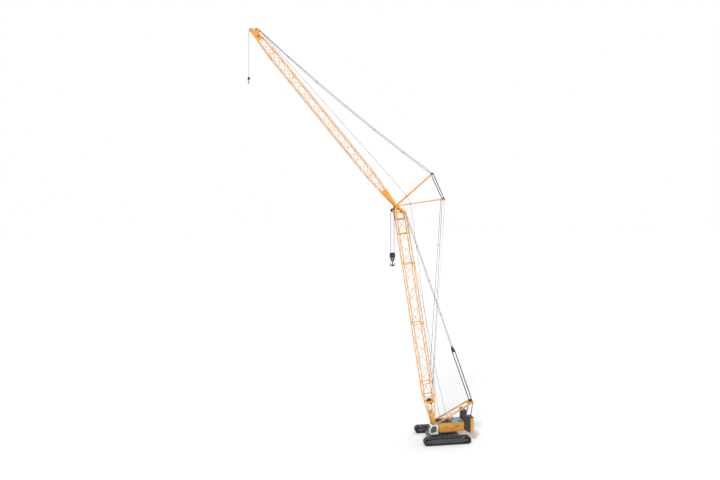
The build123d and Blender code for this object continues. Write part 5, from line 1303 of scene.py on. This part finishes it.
def arc(a, b, c, steps=8):
    """Points on the circle through three (x, z) points, from the first to the last."""
    ax, az, bx, bz, cx, cz = *a, *b, *c
    aa, bb, cc = ax * ax + az * az, bx * bx + bz * bz, cx * cx + cz * cz
    d = 2 * (ax * (bz - cz) + bx * (cz - az) + cx * (az - bz))
    ux = (aa * (bz - cz) + bb * (cz - az) + cc * (az - bz)) / d
    uz = (aa * (cx - bx) + bb * (ax - cx) + cc * (bx - ax)) / d
    first, _, last = [math.atan2(z - uz, x - ux) for x, z in (a, b, c)]
    while abs(last - first) > math.pi:
        last += math.copysign(2 * math.pi, first - last)
    radius = math.hypot(ax - ux, az - uz)
    turns = [first + (last - first) * k / steps for k in range(steps + 1)]
    return [(ux + radius * math.cos(turn), uz + radius * math.sin(turn)) for turn in turns]


def window_path(y):
    """The side window's edge at y, a closed run of points."""
    flat = [(0.103, 0.167), (0.036, 0.167), (0.036, 0.062), (0.127, 0.034)]
    flat += arc((0.153, 0.058), (0.146, 0.116), (0.103, 0.167))
    return [vec(x, y, z) for x, z in flat]


piece = Piece("cab_body", CAB)
softened(piece, "cab_shell", "white", 0.0014)
piece.tubes([window_path(-cab_half - 0.0002)], 0.0013, "rubber", 8)
screen_half = cab_half - 0.008
nose = [vec(x + 0.0004, 0, z) for x, z in arc((0.178, 0.042), (0.174, 0.109), (0.120, 0.186), 24)
        if 0.046 < z < 0.160]
seals = [[spot + ACROSS * side * screen_half for spot in nose] for side in SIDES]
seals += [[spot + ACROSS * side * screen_half for side in SIDES] for spot in (nose[0], nose[-1])]
piece.tubes(seals, 0.0014, "rubber", 8)
# roof hatch, lamps, beacon, wiper and mirror
piece.box((0.030, -0.036, cab_height - 0.0005), (0.098, 0.036, cab_height + 0.0035), "glass")
piece.tubes([[(x, side * 0.036, cab_height + 0.002) for x in (0.030, 0.098)] for side in SIDES], 0.0016,
            "rubber", 8)
for y in (-0.040, -0.014, 0.014, 0.040):
    piece.box((0.108, y - 0.009, cab_height - 0.001), (0.120, y + 0.009, cab_height + 0.013), BLACK, 0.002)
    piece.box((0.1195, y - 0.0075, cab_height + 0.001), (0.1212, y + 0.0075, cab_height + 0.0115),
              "lamp_clear", 0.0006, 1)
beacon = [(0, 0), (0.0075, 0), (0.0075, 0.003), (0.0062, 0.004), (0.0062, 0.012), (0.004, 0.0155),
          (0, 0.0165)]
piece.turned(beacon, (0.016, 0, cab_height - 0.0005), UP, "lamp_amber", 20)
piece.tubes([[(0.180, -0.010, 0.050), (0.1815, -0.004, 0.092), (0.1775, 0.004, 0.122)]], 0.0009, "rubber",
            6)
piece.box((0.1775, -0.014, 0.044), (0.1815, -0.004, 0.054), "rubber", 0.001, 1)
mirror = [(0.144, -0.058, 0.152), (0.150, -0.084, 0.154), (0.150, -0.084, 0.108), (0.144, -0.058, 0.104)]
piece.tubes([mirror], 0.0012, "rubber", 6, 0.006)
piece.box((0.1475, -0.092, 0.112), (0.1525, -0.076, 0.149), "rubber", 0.0018)
# the cooling unit behind the cab and the floor trim
piece.box((-0.0004, -0.046, 0.010), (0.0002, 0.046, 0.070), "roof_grey", 0.0002, 1)
slats(piece, (-0.0010, -0.036, 0.018), (0.0005, 0.036, 0.0202), 7, 0.0066, 0.0003)
piece.box((0.004, cab_half - 0.0006, 0.0035), (0.132, cab_half + 0.0007, 0.0075), SLATE, 0.0002, 1)
piece.done("superstructure", ("cab_shell",), "white")

piece = Piece("cab_door_leaf", CAB)
softened(piece, "cab_door", "white", 0.0009)
ring = window_path(cab_half - 0.0004)
piece.tubes([ring + ring[:1]], 0.0016, "rubber", 8)
piece.box((0.0285, cab_half - 0.0005, 0.056), (0.0335, cab_half + 0.0022, 0.078), "rubber", 0.0009, 1)
grip = [(0.031, cab_half + out, z) for out, z in ((-0.001, 0.088), (0.0055, 0.090), (0.0055, 0.138),
                                                  (-0.001, 0.140))]
piece.tubes([grip], 0.0011, RAIL, 8, 0.003)
piece.box((0.038, cab_half - 0.0006, 0.0285), (0.116, cab_half + 0.0006, 0.0315), "roof_grey", 0.0002, 1)
piece.done("cab_door", ("cab_door",), "white")

piece = Piece("operator_seat", (CAB[0], CAB[1], CAB[2] + 0.005))
for k in range(5):
    inset = 0.002 * (k % 2)
    piece.box((0.040 + inset, -0.017, k * 0.0078), (0.072 - inset, 0.017, (k + 1) * 0.0078), "rubber",
              0.001, 1)
piece.box((0.036, -0.022, 0.039), (0.084, 0.022, 0.056), "seat", 0.0065, 3)
piece.standing([(0.044, 0.052), (0.034, 0.120), (0.022, 0.121), (0.028, 0.048)], 0, 0.040, "seat", 0.004)
piece.box((0.018, -0.012, 0.122), (0.029, 0.012, 0.141), "seat", 0.0045, 3)
for side in SIDES:
    piece.box((0.040, side * 0.0155, 0.050), (0.083, side * 0.0225, 0.059), "seat", 0.003, 2)
    piece.tubes([[(0.027, side * 0.006, 0.112), (0.024, side * 0.006, 0.128)]], 0.0011, "chrome", 8)
    y = side * 0.030
    console = [(0.040, 0.030), (0.088, 0.030), (0.096, 0.058), (0.084, 0.067), (0.040, 0.063)]
    piece.standing(console, y, 0.0138, SLATE, 0.002)
    piece.standing([(0.050, 0), (0.074, 0), (0.070, 0.031), (0.054, 0.031)], y, 0.011, SLATE, 0.0012)
    piece.tubes([[(0.088, y, 0.062), (0.089, y, 0.076)]], 0.0013, "rubber", 8)
    knob = [(0, 0), (0.0022, 0.001), (0.0030, 0.005), (0.0026, 0.010), (0, 0.0125)]
    piece.turned(knob, (0.0888, y, 0.073), (0.08, 0, 1), "rubber", 14)
    piece.box((0.040, y - 0.0055, 0.0625), (0.072, y + 0.0055, 0.0685), "seat", 0.0022, 2)
    # a pedal
    y = side * 0.012
    piece.box((0.128, y - 0.007, 0.006), (0.134, y + 0.007, 0.022), "rubber", 0.001, 1,
              Matrix.Rotation(math.radians(24), 3, "Y"))
    piece.tubes([[(0.132, y, 0.010), (0.138, y, -0.001)]], 0.0014, "rubber", 8)
piece.box((0.134, -0.046, 0.060), (0.139, -0.012, 0.086), "rubber", 0.0012)
piece.box((0.1332, -0.043, 0.063), (0.1342, -0.015, 0.083), "glass", 0.0003, 1)
piece.tubes([[(0.138, -0.029, 0.062), (0.140, -0.034, -0.001)]], 0.0018, "rubber", 8)
piece.done("superstructure", ("cab_interior",), "seat")

# ---- counterweights -----------------------------------------------------------------------
STACK_BOTTOM, SLAB_PITCH, STACK_TOP = 0.186, 0.058, 0.4745


def outside(face):
    """The slabs' outer side faces and their rounded rear corner are painted orange."""
    y = face.calc_center_median().y
    if abs(face.normal.z) < 0.5 and face.normal.y * y > 0.25 * abs(y) and abs(y) > 0.31:
        return "orange"


piece = Piece("slab_stacks")
softened(piece, "counterweights", "counterweight_grey", 0.0016, 50.0, outside)
eye = [(0.0032, -0.0036), (0.0058, -0.0036), (0.0062, 0), (0.0058, 0.0036), (0.0032, 0.0036), (0.0028, 0),
       (0.0032, -0.0036)]
for side in SIDES:
    for z in (STACK_BOTTOM + k * SLAB_PITCH for k in range(5)):
        piece.box((-0.4960, side * 0.333, z + 0.0415), (-0.4765, side * 0.3478, z + 0.056),
                  "counterweight_grey", 0.0010, 1)
    for x, y in ((-0.530, 0.165), (-0.470, 0.165), (-0.520, 0.300)):
        piece.box((x - 0.0025, side * y - 0.007, STACK_TOP - 0.001),
                  (x + 0.0025, side * y + 0.007, STACK_TOP + 0.007), "counterweight_grey", 0.001, 1)
        piece.turned(eye, (x, side * y, STACK_TOP + 0.0085), (1, 0, 0), STEEL, 20)
for x in (-0.440, -0.535):
    piece.pair((x, 0, STACK_TOP - 0.030), 0.008, 0.1300, 0.1322, STEEL, 20)
piece.done("superstructure", ("counterweights",), "counterweight_grey")

piece = Piece("slab_trays")
softened(piece, "counterweight_tray", "orange", 0.0010)
for x in (-0.450, -0.535):
    piece.pair((x, 0, 0.1865), 0.0042, 0.0960, 0.1200, STEEL, 16)
    for side in SIDES:
        piece.box((x - 0.010, side * 0.0965, 0.1735), (x + 0.010, side * 0.118, 0.190), "orange", 0.0015, 1)
piece.done("superstructure", ("counterweight_tray",), "orange")

# ---- A-frame ------------------------------------------------------------------------------
def seam(piece, member, start, end, f, y, half, thickness, finish, bevel):
    """A weld bead along the side of a member."""
    outline = [(start, f - half), (end, f - half), (end, f + half), (start, f + half)]
    for side in SIDES:
        side_plate(piece, member, outline, side * y, thickness, finish, bevel)


piece = Piece("a_frame_legs")
softened(piece, "a_frame", "orange", 0.0012)
for t, radius in ((0.0, 0.0125), (frame_run, 0.015)):
    piece.pair(a_frame.point(t), radius, 0.1105, 0.1138, STEEL, 24)
for t in (0.060, frame_run - 0.060):
    for f in (-0.006, 0.006):
        piece.pair(a_frame.point(t, f), 0.0030, 0.1105, 0.1124, STEEL, 12)
for f in (-0.0104, 0.0104):
    seam(piece, a_frame, 0.085, frame_run - 0.080, f, 0.1110, 0.0012, 0.0012, "orange", 0.0003)
brace_ts = (0.150, 0.420, frame_run - 0.090)
piece.tubes([(a_frame.point(low + 0.006, 0, -side * 0.095), a_frame.point(high - 0.006, 0, side * 0.095))
             for low, high in zip(brace_ts, brace_ts[1:]) for side in SIDES], 0.0032, BLACK, 8)
for t in brace_ts:
    piece.pair(a_frame.point(t), 0.0102, 0.089, 0.097, BLACK, 20)
piece.pair(frame_head, 0.017, 0.0600, 0.0640, STEEL, 24)
piece.pair(frame_head, 0.010, 0.0635, 0.0970, BLACK, 20)
piece.done("superstructure", ("a_frame",), "orange")

piece = Piece("a_frame_ties")
softened(piece, "a_frame_struts", "strut_grey", 0.0012)
tie, tie_run = line_between(vec(-0.517, 0, 0.210), frame_head)
for t in (0.0, tie_run):
    piece.pair(tie.point(t), 0.0120, 0.1245, 0.1275, STEEL, 20)
seam(piece, tie, 0.030, tie_run - 0.030, 0, 0.1252, 0.0015, 0.0014, "strut_grey", 0.0004)
for t in (0.060, tie_run - 0.060):
    for f in (-0.0048, 0.0048):
        piece.pair(tie.point(t, f), 0.0022, 0.1245, 0.1262, STEEL, 10)
piece.done("superstructure", ("a_frame_struts",), "strut_grey")

# ---- tackles ------------------------------------------------------------------------------
frame_radius, strut_radius, luff_rope, hoist_rope = 0.030, 0.024, 0.0020, 0.0028
tackle_block = stay_line.point(1.1)


def row(count, pitch):
    """Places along Y, evenly spaced about the middle."""
    return [(k - (count - 1) / 2) * pitch for k in range(count)]


def half_turn(centre, y, radius, run, steps=10):
    """Rope laid round the far half of a sheave: run points from the sheave to the other end."""
    start = math.atan2(run.z, run.x) + math.pi / 2
    return [orbit(centre, radius, start + math.pi * k / steps, y) for k in range(steps + 1)]


def reeved(a, b, a_ys, b_ys, reach):
    """Rope runs between two sheave sets, with the rope laid round the sheaves themselves."""
    run = (b - a).normalized()
    square = vec(-run.z, 0, run.x) * reach
    paths = []
    for y, *ends in zip(b_ys, a_ys, a_ys[1:]):
        for sign, end in zip(SIDES, ends):
            paths.append([a + square * sign + ACROSS * end, b + square * sign + ACROSS * y])
        paths.append(half_turn(b, y, reach, -run))
    return paths + [half_turn(a, y, reach, run) for y in a_ys[1:-1]]


def rope_between(name, paths, radius, upper, lower, start, end, replaces=(), sides=8, step=0.009):
    """A rope piece left in the model's frame on no body; upper, lower, start and end are not used."""
    piece = Piece(name)
    piece.ropes(paths, radius, sides, step)
    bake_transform(piece.done(None, replaces, "rope"), upper, lower, tuple(start), tuple(end))


piece = Piece("frame_head_sheaves")
frame_ys, block_ys = row(7, 0.014), row(6, 0.014)
sheaves(piece, frame_head, frame_radius, frame_ys, 0.0058)
piece.disc(frame_head, 0.0125, -0.0485, 0.0485, "sheave", 24)
piece.done("boom_tackle", ("boom_tackle",), "sheave")

piece = Piece("tackle_block_unit")
sheaves(piece, tackle_block, frame_radius, block_ys, 0.0058, BLACK)
cheek = 0.041
for side in SIDES:
    outline = mirrored([(1.172, 0.015), (1.110, 0.0245), (1.076, 0.022)])
    side_plate(piece, stay_line, outline, side * (cheek + 0.002), 0.004, BLACK)
piece.pair(tackle_block, 0.012, cheek + 0.0035, cheek + 0.0075, STEEL, 20)
piece.pair(stay_line.point(link_t), 0.0085, 0.0535, 0.0570, STEEL, 18)
piece.disc(tackle_block, 0.0070, -cheek - 0.007, cheek + 0.007, STEEL, 18)
piece.disc(stay_line.point(link_t), 0.0060, -0.057, 0.057, STEEL, 18)
for t, f in ((1.082, 0.017), (1.140, 0.012)):
    for spot in (stay_line.point(t, f), stay_line.point(t, -f)):
        piece.pair(spot, 0.0026, cheek + 0.0035, cheek + 0.0052, STEEL, 10)
        if t < 1.1:
            piece.disc(spot, 0.0022, -cheek, cheek, STEEL, 10)
piece.done("boom_stays", ("tackle_block",), BLACK)

rope_between("boom_luffing_ropes", reeved(frame_head, tackle_block, frame_ys, block_ys,
                                          frame_radius - 0.0022), luff_rope,
             "boom_tackle", "boom_stays", stay_line.point(0.035), stay_line.point(1.065), sides=6)

strut_ys = row(6, 0.012)
for name, centre, node in (("rear_tip_sheaves", rear_tip, "jib_tackle"),
                           ("front_tip_sheaves", front_tip, "jib_tackle_end")):
    piece = Piece(name)
    sheaves(piece, centre, strut_radius, strut_ys, 0.0050)
    piece.disc(centre, 0.0095, -0.036, 0.036, "sheave", 20)
    piece.done(node, (node,), "sheave")

gap_line, gap_run = line_between(rear_tip, front_tip)
rope_between("jib_luffing_ropes", reeved(rear_tip, front_tip, strut_ys, strut_ys[:5],
                                         strut_radius - 0.0020), luff_rope,
             "jib_tackle", "jib_tackle_end", gap_line.point(0.028), gap_line.point(gap_run - 0.028),
             sides=6)

# ---- main hoist: head sheaves, falls, block and ramshorn hook ------------------------------
main_radius = 0.034
main_block = main_sheave - UP * 0.888
main_reach = main_radius - 0.0020
piece = Piece("main_head_sheave_set")
sheaves(piece, main_sheave, main_radius, row(5, 0.012), 0.0050)
piece.disc(main_sheave, 0.0125, -0.0295, 0.0295, "sheave", 24)
piece.done("main_falls", ("main_head_sheaves",), "sheave")

runs = []
for y in row(3, 0.012):
    runs += [[orbit(spot, main_reach, turn, y) for spot in (main_sheave, main_block)]
             for turn in (0, math.pi)]
    runs += [half_turn(main_sheave, y, main_reach, -UP, 14), half_turn(main_block, y, main_reach, UP, 14)]
rope_between("main_fall_ropes", runs, 0.0023, "main_falls", "main_hook_block", main_sheave - UP * 0.04,
             main_block + UP * 0.04, ("main_falls",))

piece = Piece("hook_block_unit", main_block)
sheaves(piece, vec(0, 0, 0), main_radius, row(3, 0.012), 0.0050)


for side in SIDES:
    cheek = [(-0.034, 0.050), (-0.045, 0.038), (-0.051, 0.026), (-0.051, -0.026), (-0.0475, -0.044)]
    piece.standing(even(cheek), side * 0.0235, 0.0068, "hook_black", 0.0018)
    lower = [(-0.0470, -0.043), (-0.040, -0.078), (-0.0325, -0.112), (-0.026, -0.121)]
    piece.standing(even(lower), side * 0.0235, 0.0064, "stripes", 0.0014)
    piece.standing(even([(-0.030, -0.050), (-0.026, -0.086)]), side * 0.0205 * 0.965, 0.0012, "hook_black",
                   0.0003)
cross = (0, 0, -0.100)
piece.pair((0, 0, 0), 0.015, 0.0265, 0.0292, STEEL, 28)
piece.pair((0, 0, 0), 0.009, 0.0290, 0.0308, "hook_black", 6)
piece.pair(cross, 0.0145, 0.0262, 0.0290, STEEL, 28)
for spot in ((x * side, 0, z) for x, z in ((0.038, 0.034), (0.041, -0.034), (0.030, -0.064))
             for side in SIDES):
    piece.pair(spot, 0.0042, 0.0262, 0.0288, STEEL, 12)
    piece.disc(spot, 0.0034, -0.021, 0.021, STEEL, 12)
piece.disc((0, 0, 0), 0.0080, -0.0225, 0.0225, STEEL, 20)
piece.disc(cross, 0.0100, -0.0225, 0.0225, "hook_black", 24)
piece.box((-0.0145, -0.0155, -0.1095), (0.0145, 0.0155, -0.0905), "hook_black", 0.003)
piece.done("main_hook_block", ("main_hook_block",), "hook_black")

piece = Piece("ramshorn_hook", main_block - UP * 0.195)
for side in SIDES:
    run = [((-side * 0.004, 0, -0.0085), 0.0145), ((side * 0.010, 0, -0.0100), 0.0140)]
    for share in (k / 10 for k in range(1, 11)):
        turn = math.radians(-90 + 150 * share)
        run.append(((side * (0.021 + 0.0245 * math.cos(turn)), 0, 0.0185 + 0.0275 * math.sin(turn)),
                    0.0125 - 0.0082 * share ** 1.1))
    swept(piece, run, "hook_black", 16, 4)
    piece.box((side * 0.0095 - 0.0022, -0.0035, 0.046), (side * 0.0095 + 0.0022, 0.0035, 0.054), STEEL,
              0.0008, 1)
    piece.tubes([[(side * 0.0105, 0, 0.050), (side * 0.0300, 0, 0.0475)]], 0.0014, STEEL, 8)
shank = [(0, -0.022), (0.0125, -0.018), (0.0150, -0.008), (0.0142, 0.008), (0.0112, 0.022), (0.0092, 0.036),
         (0.0088, 0.060), (0.0088, 0.0838), (0, 0.0838)]
piece.turned(shank, (0, 0, 0), UP, "hook_black", 28)
nut = [(0, 0), (0.0130, 0), (0.0138, 0.0010), (0.0138, 0.0050), (0.0125, 0.0062), (0, 0.0062)]
piece.turned(nut, (0, 0, 0.0735), UP, STEEL, 6)
piece.done("main_hook", ("main_hook",), "hook_black")

# ---- jib hoist: line, ball and hook --------------------------------------------------------
line_x = jib_sheave.x + 0.0414
bottom = jib_sheave.z - 0.94
over_sheave = [orbit(jib_sheave, 0.0386, math.radians(108 - 9 * k)) for k in range(12)]
rope_between("jib_fall_rope", [over_sheave + [vec(line_x, 0, jib_sheave.z),
                                              vec(line_x, 0, bottom + 0.058)]], hoist_rope,
             "jib_hook_line", "jib_hook_ball", (line_x, 0, jib_sheave.z - 0.03),
             (line_x, 0, bottom + 0.075), ("jib_hook_line",))

piece = Piece("ball_weight", (line_x, 0, bottom))
ball = [(0, -0.0145), (0.0066, -0.0145), (0.0072, -0.0135), (0.0072, -0.0090), (0.0100, -0.0070),
        (0.0165, -0.0035), (0.0215, 0.0020), (0.0246, 0.0085), (0.0258, 0.0155), (0.0248, 0.0225),
        (0.0218, 0.0295), (0.0165, 0.0365), (0.0105, 0.0425), (0.0082, 0.0460), (0.0078, 0.0500),
        (0.0064, 0.0515), (0.0060, 0.0600), (0.0048, 0.0618), (0, 0.0620)]
piece.turned(ball, (0, 0, 0), UP, "hook_black", 36)
piece.turned([(0.0256, -0.0012), (0.02615, 0), (0.0256, 0.0012)], (0, 0, 0.0155), UP, STEEL, 36)
piece.done("jib_hook_ball", ("jib_hook_ball",), "hook_black")

piece = Piece("ball_hook", (line_x, 0, bottom - 0.015))
run = [(0, 0, 0.0044), (0, -0.010, 0.0046), (0.0005, -0.019, 0.0050), (0.0085, -0.027, 0.0055),
       (0.0140, -0.0390, 0.0060), (0.0105, -0.0530, 0.0064), (-0.0025, -0.0600, 0.0060),
       (-0.0155, -0.0545, 0.0050), (-0.0215, -0.0440, 0.0038), (-0.0222, -0.0385, 0.0026)]
swept(piece, [((x, 0, z), radius) for x, z, radius in run], "hook_black", 14, 5)
nut = [(0, 0), (0.0068, 0), (0.0074, 0.0008), (0.0074, 0.0046), (0.0066, 0.0054), (0, 0.0054)]
piece.turned(nut, (0, 0, -0.0070), UP, STEEL, 8)
piece.tubes([[(0.001, 0, -0.018), (-0.0205, 0, -0.0395)]], 0.0011, STEEL, 8)
piece.done("jib_hook", ("jib_hook",), "hook_black")

# ---- ropes led along the boom and the jib --------------------------------------------------
roller_reach = 0.0160
main_drum, jib_drum, luff_drum = vec(-0.100, 0, 0.290), vec(0.034, 0, 0.290), vec(-0.476, 0, 0.246)
jib_luff_drum = boom.point(winch_t, winch_f)


def led(name, body, paths, radius=hoist_rope):
    """A rope piece that moves with one body."""
    piece = Piece(name)
    piece.ropes(paths, radius, 8)
    piece.done(body, (), "rope")


def upright(points, y=0.0):
    return [boom.point(t, f, y) for t, f in points]


def rope_feet(upper, drum, y):
    """Where a rope led straight down from the boom starts to turn with it, and where it meets its drum."""
    foot = orbit(drum, 0.0495, math.radians(102), y)
    return [foot + (upper - foot).normalized() * 0.115, foot]


def square_to(run):
    return vec(-run.z, 0, run.x).normalized()


lead = [(4.3858, 0.145), (4.3795, 0.080), (4.3740, 0.021), (4.3655, 0.002), (4.3072, -0.0505),
        (4.275, -0.101), (3.407, -0.126), (2.796, -0.163), (0.958, -0.232)]
main_feet = rope_feet(boom.point(*lead[-1]), main_drum, 0.0)
led("main_hoist_rope", "boom", [upright(lead) + main_feet[:1]])

rope_y = -0.012
over = [orbit(rear_roller, roller_reach, math.radians(140 + 50 * k / 6), rope_y) for k in range(7)]
lead = [(2.184, -0.189), (0.506, -0.152)]
jib_feet = rope_feet(boom.point(*lead[-1], rope_y), jib_drum, rope_y)
led("jib_hoist_rope_on_boom", "boom", [over + upright(lead, rope_y) + jib_feet[:1]])

for name, feet in (("main_hoist_lead", main_feet), ("jib_hoist_lead", jib_feet)):
    rope_between(name, [feet], hoist_rope, "superstructure", "boom", feet[1], feet[0], step=0.02)

lead = [(4.4133, 0.0060), (4.3446, -0.0777), (4.3285, -0.0909), (4.227, -0.097), (3.663, -0.131),
        (3.158, -0.156), (2.388, -0.197), (1.618, -0.227), (0.829, -0.267)]
bend = [orbit(front_roller, roller_reach, math.radians(143 + 14 * k / 3)) for k in range(4)]
led("jib_hoist_rope_on_jib", "jib", [[jib.point(t, f) for t, f in lead] + bend])
rope_between("jib_hoist_rope_link", [[bend[-1], over[0]]], hoist_rope, "boom", "jib", over[0], bend[-1],
             step=0.02)

square = square_to(rear_tip - jib_luff_drum)
led("jib_luffing_lead", "boom", [[jib_luff_drum + square * 0.036 + ACROSS * 0.030,
                                  rear_tip + square * 0.022 + ACROSS * 0.030]],
    luff_rope)
square = -square_to(frame_head - luff_drum)
led("boom_luffing_lead", "superstructure", [[luff_drum + square * 0.0365 + ACROSS * y,
                                             frame_head + square * 0.0278 + ACROSS * y]
                                            for y in (-0.042, 0.042)], luff_rope)

# ---- walkways -----------------------------------------------------------------------------
piece = Piece("catwalk_steps")
for side in SIDES:
    piece.box((house_split + 0.010, side * 0.1655, 0.1660), (house_front - 0.002, side * 0.196, 0.1700),
              "grating", 0.0008, 1)
    for x in (house_split + 0.014 + k * 0.0098 for k in range(30)):
        piece.box((x, side * 0.1670, 0.1700), (x + 0.0022, side * 0.1945, 0.1712), "grating", 0.0002, 1)
    piece.tubes([[(x, side * 0.192, 0.1662), (x, side * 0.150, 0.1700)]
                 for x in (house_split + 0.04, -0.04, house_front - 0.03)], 0.0018, SLATE, 6)
piece.done("superstructure", (), SLATE)


# ---- floor and light ----------------------------------------------------------------------
def studio():
    """A pale floor, a white surround that the camera and clear glass see, and soft lamps."""
    mesh = bpy.data.meshes.new("floor")
    reach = 90.0
    mesh.from_pydata([(-reach, -reach, 0), (reach, -reach, 0), (reach, reach, 0), (-reach, reach, 0)], [],
                     [(0, 1, 2, 3)])
    floor = bpy.data.objects.new("floor", mesh)
    scene.collection.objects.link(floor)
    f = Finish("floor_white")
    f.set(Base_Color=(0.97, 0.97, 0.97), Roughness=0.95)
    mesh.materials.append(f.material)
    world = bpy.data.worlds.new("surround")
    scene.world = world
    world.use_nodes = True
    tree = world.node_tree
    tree.nodes.clear()
    path = tree.nodes.new("ShaderNodeLightPath")
    rays = [Value(tree, path.outputs[f"Is {ray} Ray"]) for ray in ("Camera", "Glossy", "Transmission")]
    mix, out = tree.nodes.new("ShaderNodeMixShader"), tree.nodes.new("ShaderNodeOutputWorld")
    plug(tree, mix.inputs[0], rays[0].math("MAXIMUM", rays[1]).math("MAXIMUM", rays[2]))
    for index, colour, strength in ((1, (0.93, 0.96, 1.0, 1), 0.52), (2, (1, 1, 1, 1), 1.0)):
        light = tree.nodes.new("ShaderNodeBackground")
        light.inputs["Color"].default_value = colour
        light.inputs["Strength"].default_value = strength
        tree.links.new(light.outputs[0], mix.inputs[index])
    tree.links.new(mix.outputs[0], out.inputs[0])
    for name, strength, angle, turn in (
        ("key_sun", 2.1, 12.0, (math.radians(48), 0, math.radians(150))),
        ("fill_sun", 0.7, 60.0, (math.radians(60), 0, math.radians(-60))),
    ):
        data = bpy.data.lights.new(name, "SUN")
        data.energy, data.angle = strength, math.radians(angle)
        lamp = bpy.data.objects.new(name, data)
        lamp.rotation_euler = turn
        scene.collection.objects.link(lamp)


studio()
